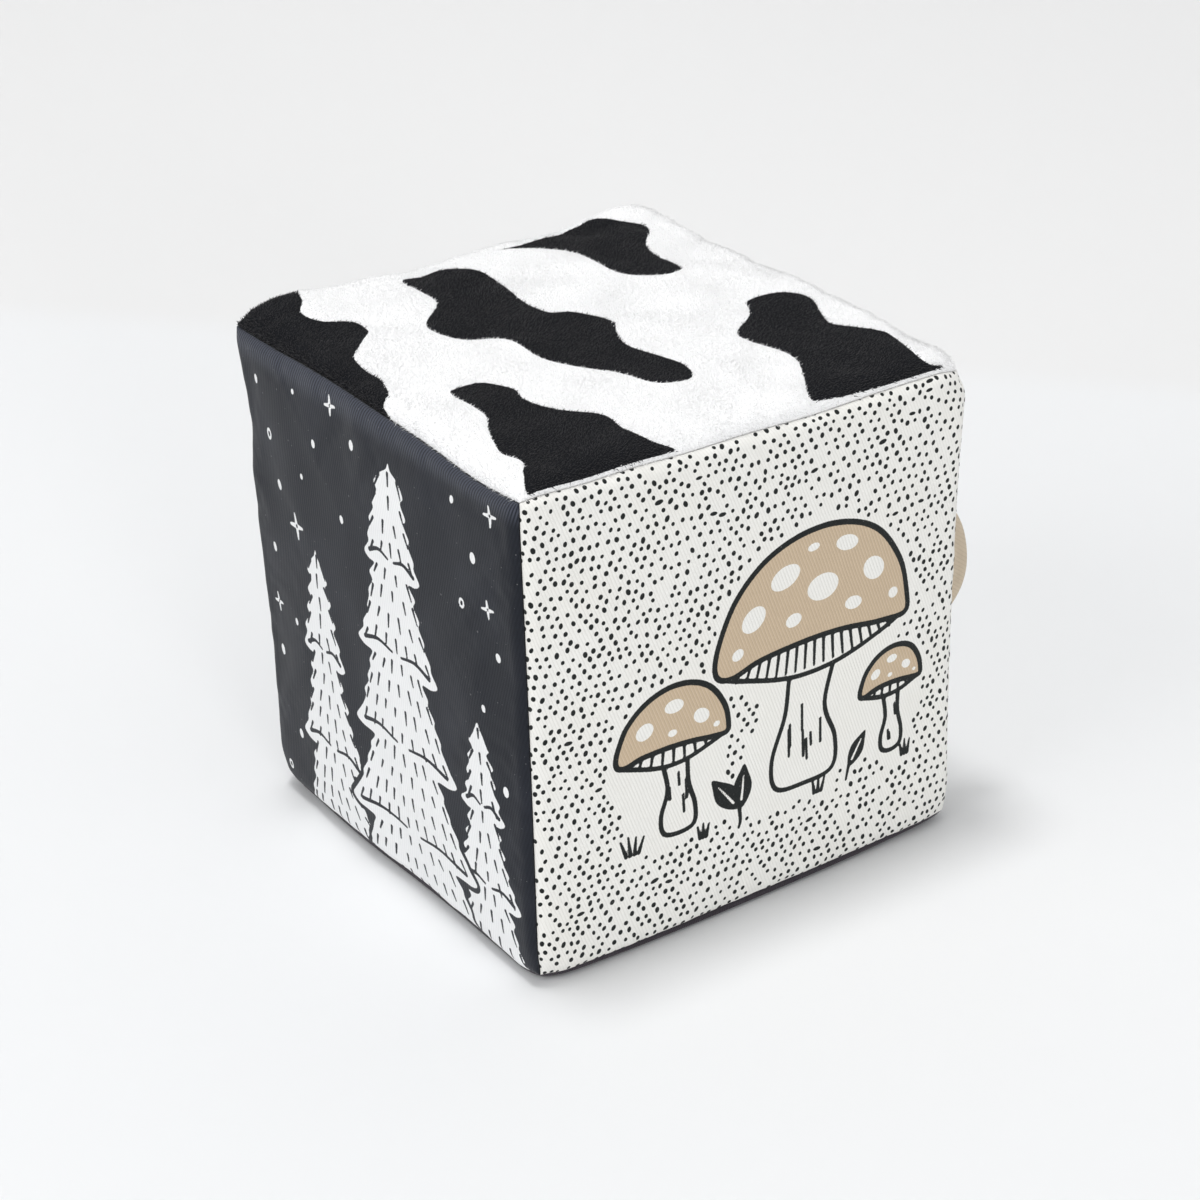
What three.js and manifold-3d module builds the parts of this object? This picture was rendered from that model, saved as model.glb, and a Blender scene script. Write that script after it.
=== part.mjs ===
// Soft fabric block for a baby: a sewn cover of six crowned cloth panels over a foam core in two
// halves, with a rattle tube in the middle of the core and a small cloth tab on one side.
// Lengths are in millimetres. +Z is up, the plush side is on top, the dotted side faces -Y and
// the black printed side faces -X. The origin is the middle of the flat that it rests on.

import * as THREE from 'three';
import * as BufferGeometryUtils from 'three/addons/utils/BufferGeometryUtils.js';
import Module from 'manifold-3d';

const wasm = await Module();
wasm.setup();

// Cover: how far the seams are from the middle, and how the cloth swells between them
const seamHalf = 61.5;
const seamDraw = 0.8;
const sideRollWidth = 3.2;
const topRollWidth = 5.5;
const bottomRollWidth = 3.2;
const sideRollRise = 1.5;
const topRollRise = 3.2;
const bottomRollRise = 1.5;
const sideSwell = 2.0;
const topSwell = 1.4;
const bottomSwell = 1.0;
const restCut = 0.5;

// Cloth: lined twill, plush with its backing, and the seam allowance turned inwards
const twillThickness = 1.6;
const plushThickness = 2.4;
const seamAllowance = 10;
const seamGap = 0.3;

// Overlock stitching that wraps each pair of raw edges
const threadLayer = 0.6;
const threadWrap = 2.4;
const threadEndSetback = 12;

// Gap that pieces keep where one rests on or fits in another
const clearance = 0.3;

// Foam core, and how far its slabs run past the block before they are trimmed
const coreEdgeRoom = 1;
const trimOverrun = 10;

// Rattle: a ball that runs up and down in a closed tube
const ballRadius = 7;
const ballRunningGap = 0.6;
const tubeWall = 1.5;
const tubeFloor = 1.5;
const tubeHeight = 44;
const tubeEdgeBevel = 0.6;
const capThickness = 1.6;
const capPlugDepth = 3;
const capPlugWall = 1.2;

// Tab: a rounded lobe of doubled cloth, sewn along its straight side
const tabHalfLength = 20;
const tabReach = 12.4;
const tabThickness = 2.2;
const tabCurlDepth = 1.5;
const tabBehindFrontSeam = 14.5;
const tabBelowMiddle = 0.4;
const tabCentreShare = 0.42;
const tabFlatShares = [0.4, 0.75];
const tabRimShares = [1, 0.5, 0, -0.5, -1];

// Fineness of the faceted surfaces
const panelSideSteps = 8;
const outerSurfaceShares = [0.28, 0.55, 0.78];
const outerRollShares = [1, 0.5, 0.14];
const innerSurfaceShares = [0.6, 0.3];
const insetHalvingSteps = 20;
const coreGridSteps = 10;
const threadSteps = 8;
const roundSteps = 32;
const tabArcSteps = 20;
const tabBaseSteps = 8;

const diagonal = Math.SQRT2;
const seamShift = seamGap / 2 / diagonal;
const middleHeight = seamHalf + seamShift + bottomRollRise + bottomSwell - restCut;

// Each side of the block: its outward direction, two directions in its plane, cloth and swell.
// The in-plane directions are ordered so that their cross product points outwards.
const X = new THREE.Vector3(1, 0, 0);
const Y = new THREE.Vector3(0, 1, 0);
const Z = new THREE.Vector3(0, 0, 1);
const minus = (vector) => vector.clone().negate();

const upright = {
  thickness: twillThickness,
  rollWidth: sideRollWidth,
  rollRise: sideRollRise,
  swell: sideSwell,
  cut: 0,
};

const sides = {
  top: {
    across: X,
    along: Y,
    out: Z,
    thickness: plushThickness,
    rollWidth: topRollWidth,
    rollRise: topRollRise,
    swell: topSwell,
    cut: 0,
  },
  bottom: {
    across: Y,
    along: X,
    out: minus(Z),
    thickness: twillThickness,
    rollWidth: bottomRollWidth,
    rollRise: bottomRollRise,
    swell: bottomSwell,
    cut: restCut,
  },
  front: { across: X, along: Z, out: minus(Y), ...upright },
  back: { across: Z, along: X, out: Y, ...upright },
  right: { across: Y, along: Z, out: X, ...upright },
  left: { across: Z, along: Y, out: minus(X), ...upright },
};

// Materials
function cloth(color, roughness) {
  return new THREE.MeshStandardMaterial({ color, roughness, metalness: 0 });
}

const materials = {
  plush: cloth(0xefeeea, 0.97),
  blackTwill: cloth(0x26262b, 0.88),
  dottedTwill: cloth(0xe7e6e1, 0.9),
  charcoalCloth: cloth(0x3a363d, 0.92),
  tanCloth: cloth(0xb09c80, 0.9),
  thread: cloth(0xd9d7d0, 0.8),
  foam: cloth(0xe9e2c4, 0.98),
  rattlePlastic: cloth(0xf2f1ec, 0.45),
  ballPlastic: cloth(0xd8d4c6, 0.4),
};

// Height of a side's cloth above the middle of the block. shareX and shareY run from -1 to 1
// between opposite seams. Each seam is drawn in between its corners, the cloth rolls up from it
// and swells gently to the middle, and the side that the block rests on is pressed flat.
function roll(side, share) {
  const climbed = Math.min(1, (1 - Math.abs(share)) * seamHalf / side.rollWidth);
  return Math.sqrt(Math.max(0, 1 - (1 - climbed) ** 2));
}

function drawnIn(shareX, shareY) {
  return seamDraw * ((1 - shareY ** 2) * shareX ** 8 + (1 - shareX ** 2) * shareY ** 8);
}

function clothHeight(side, shareX, shareY) {
  const rolled = side.rollRise * roll(side, shareX) * roll(side, shareY);
  const swollen = side.swell * (1 - shareX ** 2) * (1 - shareY ** 2);
  const free = seamHalf - drawnIn(shareX, shareY) + rolled + swollen;
  return Math.min(free, seamHalf + side.rollRise + side.swell - side.cut);
}

function place(side, across, along, out) {
  const point = new THREE.Vector3(0, 0, middleHeight);
  point.addScaledVector(side.across, across);
  point.addScaledVector(side.along, along);
  point.addScaledVector(side.out, out);
  return point;
}

// A closed solid from rings of equal counts, with a point at each end
function ringSolid(startPoint, rings, endPoint) {
  const count = rings[0].length;
  const points = [startPoint, ...rings.flat(), endPoint];
  const last = points.length - 1;
  const at = (ring, step) => 1 + ring * count + (step % count);
  const index = [];
  for (let step = 0; step < count; step += 1) {
    index.push(0, at(0, step), at(0, step + 1));
    index.push(at(rings.length - 1, step), last, at(rings.length - 1, step + 1));
  }
  for (let ring = 0; ring < rings.length - 1; ring += 1) {
    for (let step = 0; step < count; step += 1) {
      index.push(at(ring, step), at(ring + 1, step), at(ring + 1, step + 1));
      index.push(at(ring, step), at(ring + 1, step + 1), at(ring, step + 1));
    }
  }
  const geometry = new THREE.BufferGeometry();
  geometry.setFromPoints(points);
  geometry.setIndex(index);
  return geometry;
}

// Square rings of a panel. A ring is made of four runs, one per seam, whose points bunch up
// towards the corners. measure(sharePlace) gives a point's distance out to its seam, its place
// along the seam and its height, for a place from -1 to 1 along the seam.
function squareRing(side, measure) {
  const ring = [];
  for (let run = 0; run < 4; run += 1) {
    for (let step = 0; step < panelSideSteps; step += 1) {
      const sharePlace = Math.sin((Math.PI / 2) * (2 * step / panelSideSteps - 1));
      const { outwards, sideways, height } = measure(sharePlace);
      const turned = [
        [outwards, sideways],
        [-sideways, outwards],
        [-outwards, -sideways],
        [sideways, -outwards],
      ][run];
      ring.push(place(side, turned[0], turned[1], height));
    }
  }
  return ring;
}

// How far in from the seam the inside of a panel meets the inside of its seam allowance, which
// leans in at an eighth of a turn. Found by halving the range that holds it.
function innerCornerInset(side) {
  const total = side.thickness * (1 + diagonal) + diagonal * seamGap / 2;
  let near = 0;
  let far = total;
  for (let step = 0; step < insetHalvingSteps; step += 1) {
    const inset = (near + far) / 2;
    const reached = inset + side.rollRise * roll(side, 1 - inset / seamHalf);
    if (reached < total) {
      near = inset;
    } else {
      far = inset;
    }
  }
  return near;
}

// A panel of the cover: the crowned cloth between its four seams, with its seam allowances
// turned in along the planes where it meets its neighbours, half the seam gap away from them.
function panel(side) {
  const halfGap = seamGap / 2;
  const seamLine = (sharePlace) => seamHalf - seamDraw * (1 - sharePlace ** 2);
  const rollShare = side.rollWidth / seamHalf;

  const surfaceRing = (share, sink) => squareRing(side, (sharePlace) => ({
    outwards: share * (seamLine(sharePlace) - seamShift),
    sideways: share * sharePlace * (seamHalf - seamShift),
    height: clothHeight(side, share, share * sharePlace) + seamShift - sink,
  }));

  const allowanceRing = (depth, layer) => squareRing(side, (sharePlace) => {
    const inwards = (depth + halfGap + layer) / diagonal;
    return {
      outwards: seamLine(sharePlace) - inwards,
      sideways: (seamHalf - inwards) * sharePlace,
      height: seamLine(sharePlace) - (depth - halfGap - layer) / diagonal,
    };
  });

  const thickness = side.thickness;
  const cornerShare = 1 - innerCornerInset(side) / seamHalf;
  const outerShares = [
    ...outerSurfaceShares,
    ...outerRollShares.map((share) => 1 - share * rollShare),
    1,
  ];
  const innerShares = [cornerShare, cornerShare - rollShare / 2, ...innerSurfaceShares];

  const rings = [
    ...outerShares.map((share) => surfaceRing(share, 0)),
    allowanceRing(seamAllowance, 0),
    allowanceRing(seamAllowance, thickness),
    ...innerShares.map((share) => surfaceRing(share, thickness)),
  ];
  const middleOut = clothHeight(side, 0, 0) + seamShift;
  const outerMiddle = place(side, 0, 0, middleOut);
  const innerMiddle = place(side, 0, 0, middleOut - thickness);
  return ringSolid(outerMiddle, rings, innerMiddle);
}

// Overlock stitching of one seam: a thin channel of thread round the raw edges of two
// allowances. It follows the drawn-in line of the seam.
function threadChannel(sideA, sideB) {
  const inner = seamGap / 2 + clearance;
  const nearA = -(inner + sideA.thickness);
  const nearB = inner + sideB.thickness;
  const mouth = seamAllowance - threadWrap;
  const bed = seamAllowance + clearance;
  const section = [
    new THREE.Vector2(mouth, nearA - threadLayer),
    new THREE.Vector2(bed + threadLayer, nearA - threadLayer),
    new THREE.Vector2(bed + threadLayer, nearB + threadLayer),
    new THREE.Vector2(mouth, nearB + threadLayer),
    new THREE.Vector2(mouth, nearB),
    new THREE.Vector2(bed, nearB),
    new THREE.Vector2(bed, nearA),
    new THREE.Vector2(mouth, nearA),
  ];
  const along = new THREE.Vector3().crossVectors(sideA.out, sideB.out);
  const halfLength = seamHalf - threadEndSetback;
  const count = section.length;
  const points = [];
  for (let step = 0; step <= threadSteps; step += 1) {
    const distance = halfLength * (2 * step / threadSteps - 1);
    const seamLine = seamHalf - seamDraw * (1 - (distance / seamHalf) ** 2);
    for (const { x: depth, y: layer } of section) {
      const point = new THREE.Vector3(0, 0, middleHeight);
      point.addScaledVector(along, distance);
      point.addScaledVector(sideA.out, seamLine - (depth + layer) / diagonal);
      point.addScaledVector(sideB.out, seamLine - (depth - layer) / diagonal);
      points.push(point);
    }
  }
  const index = [];
  for (let step = 0; step < threadSteps; step += 1) {
    for (let corner = 0; corner < count; corner += 1) {
      const next = (corner + 1) % count;
      const low = step * count;
      const high = low + count;
      index.push(low + corner, high + next, low + next);
      index.push(low + corner, high + corner, high + next);
    }
  }
  const capStart = threadSteps * count;
  for (const [a, b, c] of THREE.ShapeUtils.triangulateShape(section, [])) {
    index.push(a, b, c);
    index.push(capStart + a, capStart + c, capStart + b);
  }
  const geometry = new THREE.BufferGeometry();
  geometry.setFromPoints(points);
  geometry.setIndex(index);
  return geometry;
}

// Joining and cutting of closed shapes
function toSolid(geometry) {
  const bare = geometry.clone();
  bare.deleteAttribute('normal');
  bare.deleteAttribute('uv');
  const merged = BufferGeometryUtils.mergeVertices(bare);
  return new wasm.Manifold(new wasm.Mesh({
    numProp: 3,
    vertProperties: new Float32Array(merged.attributes.position.array),
    triVerts: new Uint32Array(merged.index.array),
  }));
}

function toGeometry(solid) {
  const mesh = solid.getMesh();
  const geometry = new THREE.BufferGeometry();
  geometry.setAttribute('position', new THREE.BufferAttribute(mesh.vertProperties, 3));
  geometry.setIndex(new THREE.BufferAttribute(mesh.triVerts, 1));
  return geometry;
}

// Foam between two opposite sides, crowned like the cloth that is stretched over it
function coreSlab(side, opposite) {
  const points = [];
  const steps = coreGridSteps;
  const spread = (share) => share * (Math.abs(share) < 1 ? seamHalf : seamHalf + trimOverrun);
  for (const [face, sign] of [[side, 1], [opposite, -1]]) {
    for (let row = 0; row <= steps; row += 1) {
      for (let column = 0; column <= steps; column += 1) {
        const shareX = 2 * column / steps - 1;
        const shareY = 2 * row / steps - 1;
        const height = clothHeight(face, shareX, shareY) - face.thickness - clearance;
        points.push(place(side, spread(shareX), spread(shareY), sign * height));
      }
    }
  }
  const index = [];
  const width = steps + 1;
  const under = width * width;
  const quad = (a, b, c, d) => index.push(a, b, c, a, c, d);
  for (let row = 0; row < steps; row += 1) {
    for (let column = 0; column < steps; column += 1) {
      const a = row * width + column;
      quad(a, a + 1, a + width + 1, a + width);
      quad(under + a, under + a + width, under + a + width + 1, under + a + 1);
    }
  }
  const wall = (a, b) => quad(a, under + a, under + b, b);
  for (let step = 0; step < steps; step += 1) {
    const farEdge = steps * width;
    wall(step, step + 1);
    wall(farEdge + step + 1, farEdge + step);
    wall((step + 1) * width, step * width);
    wall(step * width + steps, (step + 1) * width + steps);
  }
  const geometry = new THREE.BufferGeometry();
  geometry.setFromPoints(points);
  geometry.setIndex(index);
  return toSolid(geometry);
}

function boxSolid(width, depth, height, transform) {
  const geometry = new THREE.BoxGeometry(width, depth, height);
  geometry.applyMatrix4(transform);
  return toSolid(geometry);
}

function coreHalf(isUpper) {
  const { top, bottom, front, back, right, left } = sides;
  let solid = coreSlab(top, bottom);
  solid = solid.intersect(coreSlab(front, back));
  solid = solid.intersect(coreSlab(right, left));

  // The edges are cut off to leave room for the allowances and their stitching
  const edgeDepth = seamAllowance + threadLayer + 2 * clearance + seamDraw * diagonal + coreEdgeRoom;
  const chamferWidth = 2 * (seamHalf * diagonal - edgeDepth);
  const chamferLength = 4 * seamHalf;
  const atMiddle = new THREE.Matrix4().makeTranslation(0, 0, middleHeight);
  const eighthTurn = Math.PI / 4;
  const turnX = new THREE.Matrix4().makeRotationX(eighthTurn).premultiply(atMiddle);
  const turnY = new THREE.Matrix4().makeRotationY(eighthTurn).premultiply(atMiddle);
  const turnZ = new THREE.Matrix4().makeRotationZ(eighthTurn).premultiply(atMiddle);
  solid = solid.intersect(boxSolid(chamferLength, chamferWidth, chamferWidth, turnX));
  solid = solid.intersect(boxSolid(chamferWidth, chamferLength, chamferWidth, turnY));
  solid = solid.intersect(boxSolid(chamferWidth, chamferWidth, chamferLength, turnZ));

  // The pocket for the rattle tube
  const pocketRadius = tubeRadius + clearance;
  const pocket = new THREE.CylinderGeometry(
    pocketRadius,
    pocketRadius,
    tubeHeight + 2 * clearance,
    roundSteps,
  );
  pocket.rotateX(Math.PI / 2);
  pocket.translate(0, 0, middleHeight);
  solid = solid.subtract(toSolid(pocket));

  // One half of the block of foam
  const halfHeight = 2 * seamHalf;
  const shift = (halfHeight + clearance) / 2 * (isUpper ? 1 : -1);
  const keep = new THREE.Matrix4().makeTranslation(0, 0, middleHeight + shift);
  solid = solid.intersect(boxSolid(chamferLength, chamferLength, halfHeight, keep));
  return toGeometry(solid);
}

// Rattle tube, cap and ball, turned about the upright axis through the middle of the block
const boreRadius = ballRadius + ballRunningGap;
const tubeRadius = boreRadius + tubeWall;
const tubeBase = middleHeight - tubeHeight / 2;
const capUnderside = tubeHeight - capThickness;

function turned(profile) {
  const geometry = new THREE.LatheGeometry(
    profile.map(([radius, height]) => new THREE.Vector2(radius, height)),
    roundSteps,
  );
  geometry.rotateX(Math.PI / 2);
  geometry.translate(0, 0, tubeBase);
  return geometry;
}

function rattleTube() {
  const rim = capUnderside - clearance;
  return turned([
    [0, 0],
    [tubeRadius - tubeEdgeBevel, 0],
    [tubeRadius, tubeEdgeBevel],
    [tubeRadius, rim],
    [boreRadius, rim],
    [boreRadius, tubeFloor],
    [0, tubeFloor],
  ]);
}

function rattleCap() {
  const plugRadius = boreRadius - clearance;
  const plugBore = plugRadius - capPlugWall;
  return turned([
    [0, capUnderside],
    [plugBore, capUnderside],
    [plugBore, capUnderside - capPlugDepth],
    [plugRadius, capUnderside - capPlugDepth],
    [plugRadius, capUnderside],
    [tubeRadius, capUnderside],
    [tubeRadius, tubeHeight - tubeEdgeBevel],
    [tubeRadius - tubeEdgeBevel, tubeHeight],
    [0, tubeHeight],
  ]);
}

function rattleBall() {
  const geometry = new THREE.SphereGeometry(ballRadius, roundSteps / 2, roundSteps / 4);
  geometry.translate(0, 0, tubeBase + tubeFloor + clearance + ballRadius);
  return geometry;
}

// Cloth tab. Its straight side is a rounded bead that lies along the right side's cloth, and
// the lobe curls a little towards the front.
function tabOutline() {
  const arcRadius = (tabHalfLength ** 2 + tabReach ** 2) / (2 * tabReach);
  const arcMiddle = tabReach - arcRadius;
  const halfSweep = Math.atan2(tabHalfLength, -arcMiddle);
  const outline = [];
  for (let step = 0; step <= tabArcSteps; step += 1) {
    const angle = halfSweep * (2 * step / tabArcSteps - 1);
    outline.push(new THREE.Vector2(
      arcMiddle + arcRadius * Math.cos(angle),
      arcRadius * Math.sin(angle),
    ));
  }
  for (let step = 1; step < tabBaseSteps; step += 1) {
    outline.push(new THREE.Vector2(0, tabHalfLength * (1 - 2 * step / tabBaseSteps)));
  }
  return outline;
}

function tab() {
  const outline = tabOutline();
  const centre = new THREE.Vector2(tabReach * tabCentreShare, 0);
  const halfThickness = tabThickness / 2;
  const beadY = -(seamHalf - tabBehindFrontSeam);
  const shareY = beadY / seamHalf;
  const shareZ = -tabBelowMiddle / seamHalf;
  const beadX = clothHeight(sides.right, shareY, shareZ) + seamShift + clearance + halfThickness;
  const curl = (reach) => -tabCurlDepth * Math.max(0, reach / tabReach) ** 2;
  const tabPoint = (reach, height, layer) => new THREE.Vector3(
    beadX + reach,
    beadY + curl(reach) - layer,
    middleHeight - tabBelowMiddle + height,
  );
  const outwards = outline.map((point, step) => {
    const before = outline[(step + outline.length - 1) % outline.length];
    const after = outline[(step + 1) % outline.length];
    return new THREE.Vector2(after.y - before.y, before.x - after.x).normalize();
  });
  const flatRing = (share, layer) => outline.map((point) => {
    const shrunk = point.clone().lerp(centre, 1 - share);
    return tabPoint(shrunk.x, shrunk.y, layer);
  });
  const rimRing = (angle) => outline.map((point, step) => {
    const spread = halfThickness * Math.cos(angle);
    const edge = point.clone().addScaledVector(outwards[step], spread);
    return tabPoint(edge.x, edge.y, halfThickness * Math.sin(angle));
  });
  const quarterTurn = Math.PI / 2;
  const rings = [
    ...tabFlatShares.map((share) => flatRing(share, halfThickness)),
    ...tabRimShares.map((share) => rimRing(share * quarterTurn)),
    ...[...tabFlatShares].reverse().map((share) => flatRing(share, -halfThickness)),
  ];
  const frontMiddle = tabPoint(centre.x, centre.y, halfThickness);
  const backMiddle = tabPoint(centre.x, centre.y, -halfThickness);
  return ringSolid(frontMiddle, rings, backMiddle);
}

// The block
const block = new THREE.Group();

function add(name, geometry, material) {
  const mesh = new THREE.Mesh(geometry, material);
  mesh.name = name;
  block.add(mesh);
}

add('plush_top_panel', panel(sides.top), materials.plush);
add('dotted_front_panel', panel(sides.front), materials.dottedTwill);
add('black_left_panel', panel(sides.left), materials.blackTwill);
add('dotted_right_panel', panel(sides.right), materials.dottedTwill);
add('black_back_panel', panel(sides.back), materials.blackTwill);
add('charcoal_bottom_panel', panel(sides.bottom), materials.charcoalCloth);

const seamPairs = [
  ['top', 'front'], ['top', 'back'], ['top', 'left'], ['top', 'right'],
  ['bottom', 'front'], ['bottom', 'back'], ['bottom', 'left'], ['bottom', 'right'],
  ['front', 'left'], ['front', 'right'], ['back', 'left'], ['back', 'right'],
];
for (const [first, second] of seamPairs) {
  add(`${first}_${second}_seam_thread`, threadChannel(sides[first], sides[second]), materials.thread);
}

add('lower_foam_half', coreHalf(false), materials.foam);
add('upper_foam_half', coreHalf(true), materials.foam);
add('rattle_tube', rattleTube(), materials.rattlePlastic);
add('rattle_cap', rattleCap(), materials.rattlePlastic);
add('rattle_ball', rattleBall(), materials.ballPlastic);
add('tan_tab', tab(), materials.tanCloth);

export default block;
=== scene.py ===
"""Looks of a soft fabric block: a plush top, twill sides with printed cloth, and a tan tab.

Lengths are in metres, and those with names ending in _mm or _MM in millimetres. The frame is
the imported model's: +Z up, the plush side on top, the dotted side towards -Y, the black printed
side towards -X and the side with the tab towards +X.
"""

import math

import bpy
import numpy as np
from mathutils import Matrix, Vector


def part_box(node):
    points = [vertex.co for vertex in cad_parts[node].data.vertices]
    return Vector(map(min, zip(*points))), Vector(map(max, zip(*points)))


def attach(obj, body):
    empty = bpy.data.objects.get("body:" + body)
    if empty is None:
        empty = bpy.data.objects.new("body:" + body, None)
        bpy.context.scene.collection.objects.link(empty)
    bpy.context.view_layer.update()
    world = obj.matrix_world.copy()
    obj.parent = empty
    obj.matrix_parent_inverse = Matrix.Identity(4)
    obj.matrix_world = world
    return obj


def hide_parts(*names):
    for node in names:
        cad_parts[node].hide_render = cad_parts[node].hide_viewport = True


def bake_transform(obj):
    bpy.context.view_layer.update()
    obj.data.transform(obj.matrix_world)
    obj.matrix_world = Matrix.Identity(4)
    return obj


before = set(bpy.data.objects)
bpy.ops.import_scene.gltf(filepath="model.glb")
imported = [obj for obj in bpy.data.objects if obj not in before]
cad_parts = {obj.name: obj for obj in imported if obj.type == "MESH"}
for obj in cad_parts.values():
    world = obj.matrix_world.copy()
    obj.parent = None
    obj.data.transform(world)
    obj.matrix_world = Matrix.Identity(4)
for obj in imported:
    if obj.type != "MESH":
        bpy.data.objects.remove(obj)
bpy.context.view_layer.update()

MM = 0.001

# Camera, fitted to the seam corners that the photograph shows
PHOTO_SIZE_PX = 1200
FOCAL_PX = 3228.8
SENSOR_WIDTH_MM = 36.0
CAMERA_AZIMUTH_DEG = -34.51
CAMERA_ELEVATION_DEG = 27.63
CAMERA_ROLL_DEG = -2.134
CAMERA_DISTANCE = 804.37 * MM
CAMERA_TARGET = Vector((0.0, -0.375 * MM, 58.02 * MM))
CAMERA_CLIP_START = 10 * MM

# Cover: the seams, and how the cloth rolls up from them and swells between them
SEAM_HALF = 61.5 * MM
SEAM_HALF_GAP = 0.1 * MM
SEAM_DRAW = 0.8 * MM
SEAM_ALLOWANCE = 9.5 * MM
CLOTH_THICKNESS = 1.2 * MM
DRAW_FADE_POWER = 8
REST_CUT = 0.5 * MM
BOTTOM_ROLL_RISE = 1.8 * MM
BOTTOM_SWELL = 2.9 * MM
MIDDLE_HEIGHT = SEAM_HALF + SEAM_HALF_GAP + BOTTOM_ROLL_RISE + BOTTOM_SWELL - REST_CUT
PILE_LENGTH = 0.95 * MM

# Fineness of the cloth meshes, in quads across a side, and of the measuring along their cloth
FINE_STEPS = 288
PLAIN_STEPS = 144
INNER_STEPS = 36
MEASURING_STEPS = 4000

# Distances kept on the meshes, in millimetres, where nothing printed is near
FAR_MM = 6.0
FAR_AWAY_MM = 1000.0

# How far the corners of the stuffed block stand from those of a true cube, and how much each is
# rounded off, in millimetres, for the corners at the signs of X, Y and Z
CORNERS_MM = {
    (-1, 1, 1): ((-0.2, 0.4, 0.7), 0.2),
    (-1, -1, 1): ((-0.6, 0.6, 0.2), 0.8),
    (1, -1, 1): ((2.2, -1.7, -2.2), 2.6),
    (1, 1, 1): ((-1.9, 1.8, 0.8), 1.5),
    (-1, 1, -1): ((1.9, -1.3, -1.3), 1.5),
    (-1, -1, -1): ((-0.7, 2.0, -2.2), 2.2),
    (1, -1, -1): ((0.1, 0.1, -1.7), 0.8),
    (1, 1, -1): ((0.0, 0.0, -0.3), 1.5),
}
ROUNDING_REACH = 5 * MM

# Bottom edges: how they sag, spread and turn out into lips, at the left and elsewhere, from
# which share of the half height they do so, and how soon that fades away from the edges
BOTTOM_SAG = 1.2 * MM
BOTTOM_SPREAD = 1.3 * MM
LEFT_BOTTOM_SPREAD = -1.2 * MM
BOTTOM_LIP = 3.2 * MM
LEFT_BOTTOM_LIP = 1.8 * MM
BOTTOM_LIP_DROP = 1.2 * MM
SAG_START = 0.6
SAG_FADE_POWER = 12
WAVE_FADE_POWER = 14

# The shares of the half height from which the top's uneven filling shows, and over which it
# comes in
TOP_START = 0.99
TOP_BLEND = 0.04

# Uneven filling under the plush: where over the top it stands higher or lower, by how much, and
# how far that reaches, in millimetres
TOP_SWELLS_MM = (
    (-50, 55, 3.6, 15), (-26, 57, 1.2, 12), (8, 57, 0.5, 10), (37, 57, -1.0, 13),
    (55, 54, 1.0, 14), (57, -10, 1.3, 22), (57, -45, -0.6, 10),
)

# Slack filling that leaves the cover standing in or out: the place, how it is moved, and how
# far that reaches, in millimetres
SLACK_MM = (((-61.5, 61.5, 106), (1.0, -0.65, 0), 13), ((-61.5, 21, 4), (-1.3, 0, 0), 28))

# Uneven sewing of the top's seams with the dotted front and the black left side: where along
# each, how far up, and over what length, in millimetres
FRONT_SEAM_WAVES_MM = ((-44, -0.6, 10), (-16, -0.7, 12), (16, -0.9, 15))
LEFT_SEAM_WAVES_MM = ((17, 2.2, 32), (-45, -1.6, 15))

# The rolls of the four upright sides, the top and the bottom: their width and rise, and the
# swell between the seams
UPRIGHT_CLOTH = (3.2 * MM, 1.5 * MM, 2.0 * MM)
TOP_CLOTH = (5.5 * MM, 3.2 * MM, 1.4 * MM)
BOTTOM_CLOTH = (3.2 * MM, BOTTOM_ROLL_RISE, BOTTOM_SWELL)


def bell(away, reach):
    """A smooth hump, 1 in its middle, that fades out past its reach."""
    return np.exp(-((away / reach) ** 2))


def drawn(a, b):
    """How far the seams across a are drawn in, which they are most in the middle of b."""
    return SEAM_DRAW * (1 - b**2) * np.abs(a) ** DRAW_FADE_POWER


class Side:
    """One side of the block: its directions as seen from outside, and how its cloth swells."""

    def __init__(self, right, up, out, roll_width, roll_rise, swell, cut=0.0):
        self.axes = np.array([right, up, out], float)
        self.out = self.axes[2]
        self.roll_width = roll_width
        self.roll_rise = roll_rise
        self.swell = swell
        self.cut = cut

    def roll(self, share):
        climbed = np.clip((1 - np.abs(share)) * SEAM_HALF / self.roll_width, 0, 1)
        return np.sqrt(np.clip(1 - (1 - climbed) ** 2, 0, 1))

    def height(self, a, b):
        """How far the cloth stands out from the middle of the block, at shares a and b."""
        rolled = self.roll_rise * self.roll(a) * self.roll(b)
        swollen = self.swell * (1 - a**2) * (1 - b**2)
        free = SEAM_HALF - drawn(a, b) - drawn(b, a) + rolled + swollen
        return np.minimum(free, SEAM_HALF + self.roll_rise + self.swell - self.cut)

    def surface(self, a, b, half_gap=0.0):
        """Points of the cloth at shares a and b, which run from -1 to 1 between the seams."""
        across = a * (SEAM_HALF - drawn(a, b) - half_gap)
        along = b * (SEAM_HALF - drawn(b, a) - half_gap)
        placed = np.stack([across, along, self.height(a, b) + half_gap], -1)
        return placed @ self.axes + np.array([0, 0, MIDDLE_HEIGHT])

    def places(self, steps):
        """Places at even steps along the cloth from seam to seam, and the shares they lie at."""
        shares = np.linspace(-1, 1, MEASURING_STEPS + 1)
        rises = np.diff(self.height(shares, np.zeros(shares.shape)))
        runs = np.diff(shares) * SEAM_HALF
        lengths = np.concatenate([[0], np.cumsum(np.hypot(runs, rises))])
        even = np.linspace(0, lengths[-1], steps + 1)
        return even - lengths[-1] / 2, np.interp(even, lengths, shares)

    def grid(self, steps):
        """Shares over the side at even steps of its cloth."""
        _, shares = self.places(steps)
        return np.meshgrid(shares, shares)


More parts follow.
